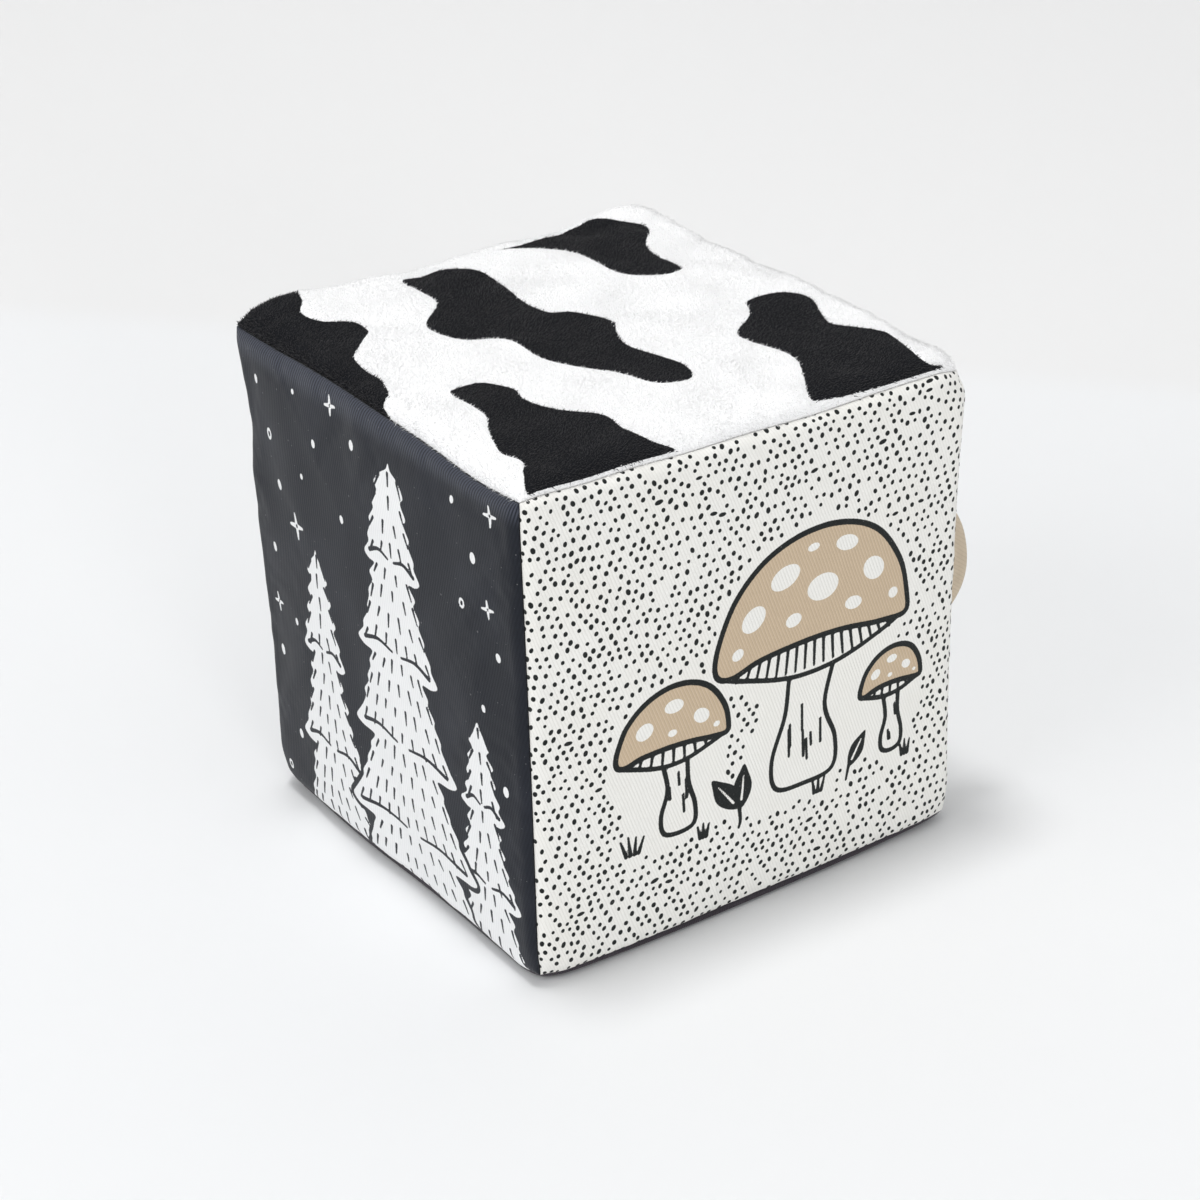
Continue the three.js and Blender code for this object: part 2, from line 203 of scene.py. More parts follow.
SIDES = {
    "top": Side((1, 0, 0), (0, 1, 0), (0, 0, 1), *TOP_CLOTH),
    "front": Side((1, 0, 0), (0, 0, 1), (0, -1, 0), *UPRIGHT_CLOTH),
    "left": Side((0, -1, 0), (0, 0, 1), (-1, 0, 0), *UPRIGHT_CLOTH),
    "right": Side((0, 1, 0), (0, 0, 1), (1, 0, 0), *UPRIGHT_CLOTH),
    "back": Side((-1, 0, 0), (0, 0, 1), (0, 1, 0), *UPRIGHT_CLOTH),
    "bottom": Side((1, 0, 0), (0, -1, 0), (0, 0, -1), *BOTTOM_CLOTH, REST_CUT),
}


def warp(points):
    """Moves points as the stuffed block departs from a true cube: corners that stand off and
    are rounded, bottom edges that sag and spread, and seams sewn unevenly."""
    shares = (points - np.array([0, 0, MIDDLE_HEIGHT])) / SEAM_HALF
    inside = np.clip(shares, -1, 1)
    moved = points.copy()
    for signs, (shift_mm, rounding_mm) in CORNERS_MM.items():
        corner = np.array(signs, float)
        weight = np.prod((1 + inside * corner) / 2, axis=-1)
        moved += weight[..., None] * np.array(shift_mm) * MM
        away = np.linalg.norm(shares - corner, axis=-1) * SEAM_HALF
        inwards = corner / math.sqrt(3) if signs[2] > 0 else corner * (1, 1, 0) / math.sqrt(2)
        moved -= rounding_mm * MM * bell(away, ROUNDING_REACH)[..., None] * inwards
    for place_mm, shift_mm, reach_mm in SLACK_MM:
        away_mm = np.linalg.norm(points / MM - np.array(place_mm), axis=-1)
        moved += bell(away_mm, reach_mm)[..., None] * np.array(shift_mm) * MM

    across, along, height = np.moveaxis(inside, -1, 0)
    near_bottom = np.clip((-height - SAG_START) / (1 - SAG_START), 0, 1) ** 2
    at_side_x = np.abs(across) ** SAG_FADE_POWER * (1 - along**2)
    at_side_y = np.abs(along) ** SAG_FADE_POWER * (1 - across**2)
    below_seam = MIDDLE_HEIGHT - SEAM_HALF - points[..., 2]
    in_lip = np.sin(np.clip(below_seam / BOTTOM_LIP_DROP, 0, 1) * math.pi / 2)
    spread_x = np.where(across < 0, LEFT_BOTTOM_SPREAD, BOTTOM_SPREAD) * near_bottom
    lip_x = np.where(across < 0, LEFT_BOTTOM_LIP, BOTTOM_LIP) * in_lip
    outwards_y = BOTTOM_SPREAD * near_bottom + BOTTOM_LIP * in_lip
    moved[..., 0] += np.sign(across) * (spread_x + lip_x) * at_side_x
    moved[..., 1] += np.sign(along) * outwards_y * at_side_y
    moved[..., 2] -= BOTTOM_SAG * near_bottom * np.maximum(at_side_x, at_side_y)

    for waves_mm, place, towards in (
        (FRONT_SEAM_WAVES_MM, across, -along), (LEFT_SEAM_WAVES_MM, along, -across)
    ):
        at_seam = (np.clip(height, 0, 1) * np.clip(towards, 0, 1)) ** WAVE_FADE_POWER
        for middle_mm, rise_mm, length_mm in waves_mm:
            wave = bell(place * SEAM_HALF / MM - middle_mm, length_mm)
            moved[..., 2] += rise_mm * MM * wave * at_seam

    over_top = np.clip((shares[..., 2] - TOP_START) / TOP_BLEND, 0, 1)
    for x_mm, y_mm, rise_mm, reach_mm in TOP_SWELLS_MM:
        away_mm = np.hypot(across * SEAM_HALF / MM - x_mm, along * SEAM_HALF / MM - y_mm)
        moved[..., 2] += rise_mm * MM * over_top * bell(away_mm, reach_mm)
    moved[..., 2] = np.maximum(moved[..., 2], 0)
    return moved


def share_grid(steps):
    shares = np.linspace(-1, 1, steps + 1)
    return np.meshgrid(shares, shares)


def grid_quads(steps, first=0, flip=False):
    """Corner numbers of the quads of a square grid of points, row by row."""
    low = np.arange(steps)[None, :] + np.arange(steps)[:, None] * (steps + 1) + first
    quads = np.stack([low, low + 1, low + steps + 2, low + steps + 1], -1).reshape(-1, 4)
    return quads[:, ::-1] if flip else quads


def grid_border(steps, first=0):
    """Point numbers round a square grid, counterclockwise, from its lower left corner."""
    width = steps + 1
    bottom = np.arange(steps)
    right = steps + np.arange(steps) * width
    top = steps * width + steps - np.arange(steps)
    left = (steps - np.arange(steps)) * width
    return np.concatenate([bottom, right, top, left]) + first


def band_quads(lower, upper):
    """Quads between two rings of as many points."""
    return np.stack([lower, np.roll(lower, -1), np.roll(upper, -1), upper], -1)


def grid_normals(points):
    """Outward normals of a grid of points, rows along the second direction."""
    across = np.gradient(points, axis=1)
    along = np.gradient(points, axis=0)
    normals = np.cross(across, along)
    return normals / np.maximum(np.linalg.norm(normals, axis=-1, keepdims=True), 1e-12)


def new_object(name, data):
    made = bpy.data.objects.new(name, data)
    bpy.context.scene.collection.objects.link(made)
    return made


def make_mesh(name, vertices, quads, triangles=(), uv=None):
    """A mesh object from arrays, with smooth faces."""
    mesh = bpy.data.meshes.new(name)
    corners = [np.asarray(faces).ravel() for faces in (quads, triangles)]
    loops = np.concatenate(corners).astype(np.int32)
    sizes = np.repeat([4, 3], [len(quads), len(triangles)])
    mesh.vertices.add(len(vertices))
    mesh.vertices.foreach_set("co", np.asarray(vertices, np.float32).ravel())
    mesh.loops.add(len(loops))
    mesh.loops.foreach_set("vertex_index", loops)
    mesh.polygons.add(len(sizes))
    mesh.polygons.foreach_set("loop_start", (np.cumsum(sizes) - sizes).astype(np.int32))
    mesh.polygons.foreach_set("use_smooth", np.ones(len(sizes), bool))
    if uv is not None:
        layer = mesh.uv_layers.new(name="cloth")
        layer.data.foreach_set("uv", np.asarray(uv, np.float32)[loops].ravel())
    mesh.update(calc_edges=True)
    mesh.validate()
    return new_object(name, mesh)


def mesh_points(made):
    points = np.empty(3 * len(made.data.vertices), np.float32)
    made.data.vertices.foreach_get("co", points)
    return points.reshape(-1, 3).astype(float)


def apply_modifiers(made):
    """Replaces a mesh by what its modifiers make of it."""
    evaluated = made.evaluated_get(bpy.context.evaluated_depsgraph_get())
    mesh = bpy.data.meshes.new_from_object(evaluated)
    made.modifiers.clear()
    made.data = mesh
    mesh.polygons.foreach_set("use_smooth", np.ones(len(mesh.polygons), bool))


def set_attribute(made, name, values, domain="POINT"):
    """Gives a mesh a number or a vector for each point or face, for its material to read."""
    values = np.asarray(values, np.float32)
    kind = "FLOAT_VECTOR" if values.ndim == 2 else "FLOAT"
    attribute = made.data.attributes.new(name, kind, domain)
    attribute.data.foreach_set("vector" if values.ndim == 2 else "value", values.ravel())


def border_fans(ring, inner_ring):
    """Triangles between a fine ring of points and a plainer one inside it."""
    fan = len(ring) // len(inner_ring)
    half = fan // 2
    triangles = []
    for step, corner in enumerate(inner_ring):
        following = inner_ring[(step + 1) % len(inner_ring)]
        fine = [ring[(step * fan + k) % len(ring)] for k in range(fan + 1)]
        triangles += [(fine[k + 1], fine[k], corner) for k in range(half)]
        triangles.append((fine[half], corner, following))
        triangles += [(fine[k + 1], fine[k], following) for k in range(half, fan)]
    return triangles


def panel_mesh(name, side, steps, relief=0.0, fields=None, face_fields=None):
    """A cloth panel with thickness, closed: the crowned outside, the seam allowances turned in
    along the planes to the neighbours, and a plainer inside. relief lifts the outside along its
    normals, and fields and face_fields hold numbers for each of its points and quads."""
    a, b = side.grid(steps)
    grid_points = warp(side.surface(a, b, SEAM_HALF_GAP))
    grid_points += np.asarray(relief)[..., None] * grid_normals(grid_points)
    grid_points[..., 2] = np.maximum(grid_points[..., 2], 0)
    outside = grid_points.reshape(-1, 3)
    ring = grid_border(steps)
    edge = outside[ring]
    sideways = np.stack([a.ravel()[ring], b.ravel()[ring]], -1) @ side.axes[:2]
    diagonal = math.sqrt(2)
    corner_depth = CLOTH_THICKNESS * (1 + diagonal)
    vertices = [outside]
    quads = [grid_quads(steps)]
    first = len(outside)
    for depth, layer in (
        (SEAM_ALLOWANCE / 2, 0), (SEAM_ALLOWANCE, 0), (SEAM_ALLOWANCE, CLOTH_THICKNESS),
        (corner_depth, CLOTH_THICKNESS),
    ):
        inwards = sideways * (depth + layer) + side.out * (depth - layer)
        vertices.append(edge - inwards / diagonal)
        following = np.arange(len(edge)) + first
        quads.append(band_quads(following, ring))
        ring = following
        first += len(edge)

    inner_share = 1 - (corner_depth + CLOTH_THICKNESS) / diagonal / SEAM_HALF
    inner_a, inner_b = (inner_share * share for share in share_grid(INNER_STEPS))
    inside = warp(side.surface(inner_a, inner_b)) - side.out * CLOTH_THICKNESS
    vertices.append(inside.reshape(-1, 3))
    quads.append(grid_quads(INNER_STEPS, first, flip=True))
    triangles = border_fans(ring, grid_border(INNER_STEPS, first))
    vertices = np.concatenate(vertices)

    uv = (vertices - np.array([0, 0, MIDDLE_HEIGHT])) @ side.axes[:2].T
    places, _ = side.places(steps)
    uv[: len(outside)] = np.stack(np.meshgrid(places, places), -1).reshape(-1, 2)
    made = make_mesh(name, vertices, np.concatenate(quads), triangles, uv)
    for field, values in (fields or {}).items():
        padding = np.full(len(vertices) - len(outside), FAR_MM)
        set_attribute(made, field, np.concatenate([values.ravel(), padding]))
    for field, values in (face_fields or {}).items():
        padding = np.full((len(made.data.polygons) - steps**2, 3), FAR_AWAY_MM)
        whole = np.concatenate([values.reshape(-1, 3), padding])
        set_attribute(made, field, whole, "FACE")
    return made, grid_points


# Prints: each printed area is kept as a distance in millimetres from its edge, negative inside

SPAN_STEPS = 8
OVAL_POINTS = 12
BLANK_STROKE_MARGIN_MM = 2.0
BLANK_STROKE_END_SHARE = 0.6


def curve_between(before, start, end, after, t):
    """Places at shares t of the way from start to end, on a smooth curve through all four."""
    bend = 2 * before - 5 * start + 4 * end - after
    cubic = 3 * start - before - 3 * end + after
    return 0.5 * (2 * start + (end - before) * t + bend * t**2 + cubic * t**3)


def carried_on(values):
    """Rows of numbers with one more at each end, as the rows there go on."""
    return np.vstack([2 * values[:1] - values[1:2], values, 2 * values[-1:] - values[-2:-1]])


def smooth_line(points, closed=False):
    """A smooth line through points, with SPAN_STEPS short steps from each to the next, or the
    straight one between just two."""
    points = np.array(points, float)
    if len(points) == 2:
        return points
    points = np.vstack([points[-1:], points, points[:2]]) if closed else carried_on(points)
    t = np.linspace(0, 1, SPAN_STEPS, endpoint=False)[:, None]
    runs = zip(points, points[1:], points[2:], points[3:])
    spans = [curve_between(*run, t) for run in runs]
    end = points[1:2] if closed else points[-2:-1]
    return np.vstack([*spans, end])


def window(places, line, margin=FAR_MM):
    """The rows and columns of a square grid that lie within a margin of a line."""
    low, high = line.min(0) - margin, line.max(0) + margin
    columns = slice(*np.searchsorted(places, [low[0], high[0]]))
    rows = slice(*np.searchsorted(places, [low[1], high[1]]))
    return rows, columns


class Print:
    """The printed areas of one side, sampled where its cloth mesh has points."""

    def __init__(self, side, layers):
        self.places = SIDES[side].places(FINE_STEPS)[0] / MM
        self.across, self.along = np.meshgrid(self.places, self.places)
        self.layers = {name: np.full(self.across.shape, FAR_MM) for name in layers}

    def distance(self, line, part, start_width=0.0, end_width=0.0):
        """Distance of the grid's points from the edge of a stroke along a line."""
        x, y = self.across[part], self.along[part]
        best = np.full(x.shape, FAR_MM)
        count = len(line) - 1
        for k in range(count):
            step = line[k + 1] - line[k]
            length = max(step @ step, 1e-12)
            from_x, from_y = x - line[k][0], y - line[k][1]
            t = np.clip((from_x * step[0] + from_y * step[1]) / length, 0, 1)
            away = np.hypot(from_x - t * step[0], from_y - t * step[1])
            width = start_width + (end_width - start_width) * (k + t) / count
            best = np.minimum(best, away - width / 2)
        return best

    def inside(self, line, part):
        """Which of the grid's points lie inside a closed line."""
        x, y = self.across[part], self.along[part]
        found = np.zeros(x.shape, bool)
        for p, q in zip(line, line[1:]):
            if p[1] == q[1]:
                continue
            crosses = (p[1] > y) != (q[1] > y)
            found ^= crosses & (x < (q[0] - p[0]) * (y - p[1]) / (q[1] - p[1]) + p[0])
        return found

    def area(self, outline):
        """The part of the grid near a closed outline, and its distances from it there."""
        line = smooth_line(outline, True)
        part = window(self.places, line)
        away = self.distance(line, part)
        return part, np.where(self.inside(line, part), -away, away)

    def add(self, layer, part, distance):
        self.layers[layer][part] = np.minimum(self.layers[layer][part], distance)

    def clear(self, part, distance, layers=None):
        """Takes away what was printed before inside an area."""
        for layer in layers or self.layers:
            self.layers[layer][part] = np.maximum(self.layers[layer][part], -distance)

    def shape(self, outline, line_mm, fill=None):
        """A drawn shape that covers what lies under it, with a line round it."""
        part, distance = self.area(outline)
        self.clear(part, distance)
        if fill:
            self.add(fill, part, distance)
        self.add("ink", part, np.abs(distance) - line_mm / 2)

    def stroke(self, layer, points, start_mm, end_mm):
        """A brush stroke along points, whose width changes from start to end."""
        line = smooth_line(points)
        part = window(self.places, line)
        self.add(layer, part, self.distance(line, part, start_mm, end_mm))

    def clear_stroke(self, layer, points, width_mm):
        """A stroke that leaves a layer blank, narrowing to its end."""
        line = smooth_line(points)
        part = window(self.places, line, BLANK_STROKE_MARGIN_MM)
        end_mm = width_mm * BLANK_STROKE_END_SHARE
        self.clear(part, self.distance(line, part, width_mm, end_mm), [layer])

    def oval(self, layer, middle, half_across, half_along, turn_deg=0.0, cut=False):
        """A filled oval, or one cut out of what the layer holds."""
        turn = math.radians(turn_deg)
        angles = np.linspace(0, 2 * math.pi, OVAL_POINTS, endpoint=False)
        x, y = half_across * np.cos(angles), half_along * np.sin(angles)
        outline = np.stack([
            middle[0] + x * math.cos(turn) - y * math.sin(turn),
            middle[1] + x * math.sin(turn) + y * math.cos(turn),
        ], -1)
        part, distance = self.area(outline)
        if cut:
            self.clear(part, distance, [layer])
        else:
            self.add(layer, part, distance)


# Black patches of the plush, as points round each, in millimetres from the middle of the top
COW_PATCHES_MM = (
    ((-66, 66), (-46, 66), (-47.5, 53), (-51.5, 46.5), (-49, 41), (-42.5, 37.5), (-41.5, 32),
     (-46, 27.5), (-53.5, 19.5), (-55.5, 11), (-55.3, 5.5), (-58, -2.5), (-61.5, -4.5),
     (-66, -6.5)),
    ((-18.5, 52.2), (-12, 52.8), (-7.3, 52.8), (-3.5, 50), (-0.5, 45), (-0.5, 38), (-3.3, 22.5),
     (-3, 12), (1.7, 8.3), (5.6, -1.3), (2.3, -8.5), (0.5, -15), (2.6, -23.7), (4.3, -31),
     (2.5, -37), (-1.6, -38.4), (-7.5, -35.3), (-10.6, -26), (-16.6, -17), (-19.6, -9), (-20, 4.5),
     (-27, 11.5), (-30.4, 20), (-29, 25.5), (-21, 33), (-19.2, 38), (-19, 44.7)),
    ((11, 54.6), (17.7, 53.6), (27, 55.6), (39.5, 57.8), (45.6, 56.5), (50.6, 46), (49.6, 40.5),
     (43, 33.5), (40, 24), (40, 18), (38.5, 14.2), (33, 14.2), (26, 20.5), (25.7, 31), (26, 41),
     (21.5, 48.5), (15.5, 52.6)),
    ((39, -11), (45, -10.8), (50, -13), (52.2, -18), (48.2, -27.5), (47.6, -32.7), (54.4, -39.5),
     (55.3, -44), (51.5, -56), (52, -60.5), (57, -62.8), (38, -62.4), (22, -61), (18.5, -59),
     (23, -51), (27, -44), (27.4, -38), (24.7, -28), (25.6, -23.9), (32.7, -19), (35.5, -16)),
    ((-46.2, -11.4), (-44, -9.5), (-37.2, -10.7), (-34.2, -18.5), (-35.5, -25.4), (-32.4, -33.8),
     (-26, -42), (-26.5, -51), (-24.5, -58), (-20.5, -62.6), (-38, -63), (-58, -63), (-56.5, -56),
     (-53, -50.5), (-54.5, -44), (-51, -34), (-47, -27), (-46.5, -20)),
)


# Dots of the dotted twill
DOT_SPACING_MM = 2.55
DOT_JITTER_MM = 0.45
DOT_APART_MM = 1.8
DOT_HALF_WIDTH_MM = (0.44, 0.62)
DOT_STRETCH = (1.05, 1.45)
DOT_TILT_DEG = (40, 120)
DOT_PAIR_SHARE = 0.012
DOT_PAIR_STRETCH = 2.0
DOT_PAIR_TILT_DEG = (-10, 15)
DOT_MISSING_SHARE = 0.02
DOT_HALO_MM = 1.4
DOT_SPARE_ROWS = 4

# How the rows of dots wander: the size, lengths along both directions and phase of each wave,
# and how the waves up the rows differ from those along them
ROW_WAVES_MM = ((1.0, 61, 37, 0.4), (0.5, -29, 43, 1.9), (0.25, 23, 19, 3.1))
UPWARD_WAVE_SHARE, UPWARD_WAVE_PHASE = 0.9, 1.0


def dot_rows(half_width_mm, rng):
    """Places of hand-drawn dots, in rows that wander over a side, none too close to another."""
    row_gap = DOT_SPACING_MM * math.sqrt(3) / 2
    rows = int(half_width_mm / row_gap) + DOT_SPARE_ROWS
    columns = int(half_width_mm / DOT_SPACING_MM) + DOT_SPARE_ROWS
    placed = np.full((1, 2), FAR_AWAY_MM)
    for row in range(-rows, rows + 1):
        for column in range(-columns, columns + 1):
            x = (column + 0.5 * (row % 2)) * DOT_SPACING_MM
            y = row * row_gap
            jitter_x, jitter_y = DOT_JITTER_MM * (2 * rng.random(2) - 1)
            for size, along_x, along_y, phase in ROW_WAVES_MM:
                turn = 2 * math.pi * (x / along_x + y / along_y) + phase
                jitter_x += size * math.sin(turn)
                jitter_y += size * math.cos(turn * UPWARD_WAVE_SHARE + UPWARD_WAVE_PHASE)
            place = np.array([x + jitter_x, y + jitter_y])
            apart = np.linalg.norm(placed - place, axis=1).min() > DOT_APART_MM
            if apart and np.abs(place).max() < half_width_mm and rng.random() > DOT_MISSING_SHARE:
                placed = np.vstack([placed, place])
    return placed[1:]


def dot_field(made, seed, taken_mm=None):
    """For each quad of the cloth, the middle of the nearest dot, and what turns places round it
    into places in a unit circle: the direction of its length over that length, and how many
    times longer than wide it is. Dots keep clear of what is taken."""
    rng = np.random.default_rng(seed)
    middles = (made.places[1:] + made.places[:-1]) / 2
    across, along = np.meshgrid(middles, middles)
    nearest = np.full(across.shape, FAR_MM)
    middle = np.full((*across.shape, 3), FAR_AWAY_MM)
    axes = np.ones((*across.shape, 3))
    for x, y in dot_rows(made.places[-1] + DOT_SPACING_MM / 2, rng):
        narrow = rng.uniform(*DOT_HALF_WIDTH_MM)
        stretch = np.interp(rng.random() ** 2, [0, 1], DOT_STRETCH)
        tilt = math.radians(rng.uniform(*DOT_TILT_DEG))
        if rng.random() < DOT_PAIR_SHARE:
            stretch, tilt = DOT_PAIR_STRETCH, math.radians(rng.uniform(*DOT_PAIR_TILT_DEG))
        if taken_mm is not None:
            row, column = np.clip(np.searchsorted(made.places, [y, x]), 0, len(middles))
            if taken_mm[row, column] < DOT_HALO_MM:
                continue
        part = window(middles, np.array([[x, y]]), DOT_SPACING_MM)
        direction = np.array([math.cos(tilt), math.sin(tilt)]) / (narrow * stretch)
        away_x, away_y = across[part] - x, along[part] - y
        in_long = away_x * direction[0] + away_y * direction[1]
        in_narrow = (away_y * direction[0] - away_x * direction[1]) * stretch
        outside = (np.hypot(in_long, in_narrow) - 1) * narrow
        nearer = outside < nearest[part]
        nearest[part] = np.where(nearer, outside, nearest[part])
        middle[part] = np.where(nearer[..., None], (x, y, 0), middle[part])
        axes[part] = np.where(nearer[..., None], (*direction, stretch), axes[part])
    return {"dot_middle": middle, "dot_axes": axes}


# Drawn widths of lines, in millimetres
OUTLINE_MM = 1.3
CAP_OUTLINE_MM = 1.5

# Outlines of a drawn mushroom's cap and of the gills under it, in shares of the cap's half width
# and of its height above its foot, and the spots of a big and of a small cap: the place in such
# shares, half sizes in shares of the half width, and the turn in degrees
CAP_OUTLINE = (
    (-1.0, 0.06), (-0.97, 0.3), (-0.8, 0.62), (-0.48, 0.88), (-0.08, 1.0), (0.34, 0.97),
    (0.68, 0.8), (0.92, 0.47), (1.0, 0.16), (0.97, 0.01), (0.7, 0.02), (0.3, 0.075),
    (-0.1, 0.09), (-0.55, 0.06), (-0.85, -0.01),
)
GILLS_OUTLINE = (
    (-0.93, 0.02), (-0.6, -0.1), (-0.2, -0.19), (0.2, -0.19), (0.62, -0.09), (0.93, 0.03),
    (0.5, 0.08), (0, 0.1), (-0.5, 0.08),
)
BIG_CAP_SPOTS = (
    (-0.62, 0.42, 0.13, 0.1, 35), (-0.3, 0.68, 0.15, 0.1, 20), (0.08, 0.5, 0.16, 0.12, 0),
    (0.33, 0.8, 0.12, 0.07, -15), (0.62, 0.5, 0.12, 0.1, -40), (-0.22, 0.3, 0.08, 0.06, 10),
    (0.4, 0.27, 0.09, 0.06, -10), (-0.78, 0.17, 0.06, 0.05, 30), (0.84, 0.22, 0.055, 0.05, -30),
    (-0.02, 0.86, 0.06, 0.035, 5),
)
SMALL_CAP_SPOTS = (
    (-0.5, 0.45, 0.16, 0.13, 30), (0.02, 0.7, 0.17, 0.11, 0), (0.5, 0.42, 0.15, 0.12, -30),
    (-0.02, 0.3, 0.08, 0.06, 0), (0.78, 0.2, 0.06, 0.05, 0),
)

# The outline of a stem from the cap down and up again: half widths of the stem from its middle,
# shares of the way up to the cap, and millimetres below that
STEM_OUTLINE = (
    (-0.85, 6 / 11, 0), (-1.35, 0.22, 0), (-1.15, 0, 0), (0, 0, 1.2), (1.2, 0, 0),
    (1.3, 0.24, 0), (0.8, 6 / 11, 0),
)
GILL_SPREAD, GILL_DROP, GILL_WIDTHS_MM = 0.8, 0.17, (1.0, 0.75)
GILL_GAP_MM = 1.7
STEM_MARK_MM = 0.8


def mushroom(made, middle, cap_half, cap_foot, cap_top, stem_half, stem_foot, lean, spots, seed):
    """A drawn mushroom: a stem with a swollen foot, gills, and a spotted cap."""
    rng = np.random.default_rng(seed)
    rise = cap_foot - stem_foot

    def at(x, y):
        return middle + x * cap_half, cap_foot + y * (cap_top - cap_foot)

    foot = middle + lean
    top = at(0, -0.02)[1]
    stem = [(foot + x * stem_half, stem_foot + y * rise - down) for x, y, down in STEM_OUTLINE]
    made.shape(
        [(middle - 0.8 * stem_half, top), *stem, (middle + 0.85 * stem_half, top)], OUTLINE_MM
    )
    for _ in range(max(3, round(stem_half))):
        place = foot + stem_half * (2 * rng.random() - 1) * 0.75
        low = stem_foot + (0.1 + 0.5 * rng.random()) * rise
        mark = [(place, low), (place - 0.3, low + (0.1 + 0.14 * rng.random()) * rise)]
        made.stroke("ink", mark, STEM_MARK_MM, STEM_MARK_MM)
    made.shape([at(*share) for share in GILLS_OUTLINE], OUTLINE_MM)
    for share in np.linspace(-GILL_SPREAD, GILL_SPREAD, max(7, round(cap_half / GILL_GAP_MM))):
        low = at(share, -GILL_DROP * (1 - share**2) * 0.85 - 0.005)
        made.stroke("ink", [at(share * 0.92, 0.07), low], *GILL_WIDTHS_MM)
    made.shape([at(*share) for share in CAP_OUTLINE], CAP_OUTLINE_MM, fill="tan")
    for x, y, half_x, half_y, turn in spots:
        made.oval("tan", at(x, y), half_x * cap_half, half_y * cap_half, turn, True)


def grass(made, x, y, size, blades):
    """A tuft of blades that spread from their foot, the second one the tallest."""
    for k in range(blades):
        lean = (k - (blades - 1) / 2) * 0.28 * size
        top = (x + lean * 1.5, y + size * (1 - 0.12 * abs(k - 1)))
        made.stroke("ink", [(x + lean * 0.8, y), top], 1.2, 0.6)


# A leaf's outline: shares of the way from its root to its tip and of its half width to the side
LEAF_OUTLINE = (
    (0, 0), (0.25, 0.8), (0.55, 1), (0.85, 0.45), (1, 0), (0.8, -0.5), (0.5, -1), (0.2, -0.75)
)
VEIN = (0.2, 0.75)


def leaf(made, root, tip, half_width):
    """A solid leaf from its root to its tip, with a vein left blank along it."""
    root, tip = np.array(root, float), np.array(tip, float)
    along = tip - root
    aside = np.array([-along[1], along[0]]) / np.linalg.norm(along) * half_width
    made.add("ink", *made.area([root + along * x + aside * y for x, y in LEAF_OUTLINE]))
    line = np.stack([root + along * share for share in VEIN])
    part = window(made.places, line)
    made.clear(part, made.distance(line, part, 0.7, 0.4), ["ink"])


# The front's motif in millimetres. Mushrooms: the middle, half width, foot and top of the cap,
# the stem's half width, foot and lean, the spots, and the seed of the small strokes. Leaves:
# root, tip and half width. Stalks: points and the widths at both ends. Grass: the place, height
# and number of blades. Clearings: outlines that the dots keep out of
MUSHROOMS = (
    (16, 28.5, 2, 33, 7.2, -33, -2.5, BIG_CAP_SPOTS, 3),
    (-24.5, 15.5, -12, 5, 3.6, -33.5, 1.5, SMALL_CAP_SPOTS, 4),
    (40, 9.8, -17, -6, 2.5, -34, 0.8, SMALL_CAP_SPOTS, 5),
)
LEAVES = (
    ((-6, -34), (-13.5, -24), 2.9), ((-5.4, -34.2), (-4.2, -22.5), 2.7),
    ((27.5, -35), (32.5, -26.5), 2.2),
)
STALKS = (
    (((-5.8, -33.5), (-5.4, -37.5), (-5.8, -39.5)), 1.2, 0.8),
    (((27.6, -34.5), (26.8, -38.5)), 1.1, 0.7),
)
GRASS = ((-36, -36, 5.2, 4), (18, -38.5, 4.6, 3), (45.5, -38, 4.0, 3), (-16, -38.5, 3.8, 3))
CLEARINGS = (
    ((-12, 3), (-8, 20), (10, 34), (28, 32), (45, 12), (43, 2), (25, -33), (-8, -34), (3, -8)),
    ((-40, -12), (-34, 0), (-24, 6), (-12, 0), (-9, -12), (-17, -34), (-33, -34)),
    ((30, -17), (34, -9), (44, -8), (50, -17), (45, -34), (36, -34)),
)


def front_print():
    """Three mushrooms among grass and leaves, with dots all round them."""
    made = Print("front", ["ink", "tan"])
    for shape in MUSHROOMS:
        mushroom(made, *shape)
    for shape in LEAVES:
        leaf(made, *shape)
    for shape in STALKS:
        made.stroke("ink", *shape)
    for shape in GRASS:
        grass(made, *shape)
    taken = np.minimum(made.layers["ink"], made.layers["tan"])
    for outline in CLEARINGS:
        part, distance = made.area(outline)
        taken[part] = np.minimum(taken[part], distance)
    return made, dot_field(made, 11, taken)


# Small white marks on the black twill: ovals, four-point stars and rings, as places in
# millimetres from the middle of the side
LEFT_OVALS_MM = (
    (-52, 52, 0.9, 1.2), (-44, 27, 1.1, 1.4), (-50, 8, 0.9, 1.3), (-41, -9, 0.8, 1.0),
    (-53, -22, 1.1, 1.5), (-46, -43, 1.0, 1.3), (-24, 45, 0.8, 1.1), (-31, 34, 0.6, 0.8),
    (-6, 51, 1.0, 1.3), (-12, 30, 0.8, 1.1), (45, 42, 1.1, 1.4), (53, 20, 0.9, 1.2),
    (47, 5, 0.7, 1.0), (54, -14, 1.0, 1.4), (-33, 55, 0.6, 0.7), (36, 53, 0.8, 1.0),
)
LEFT_STARS_MM = ((-36, 19, 3.2), (52, 55, 2.6), (-52, -8, 2.4), (50, 31, 2.2), (-16, 57, 2.2))
LEFT_RINGS_MM = ((-48, 39, 1.3), (40, 29, 1.1), (-55, -56, 1.2))
MARK_TURN_DEG = 8


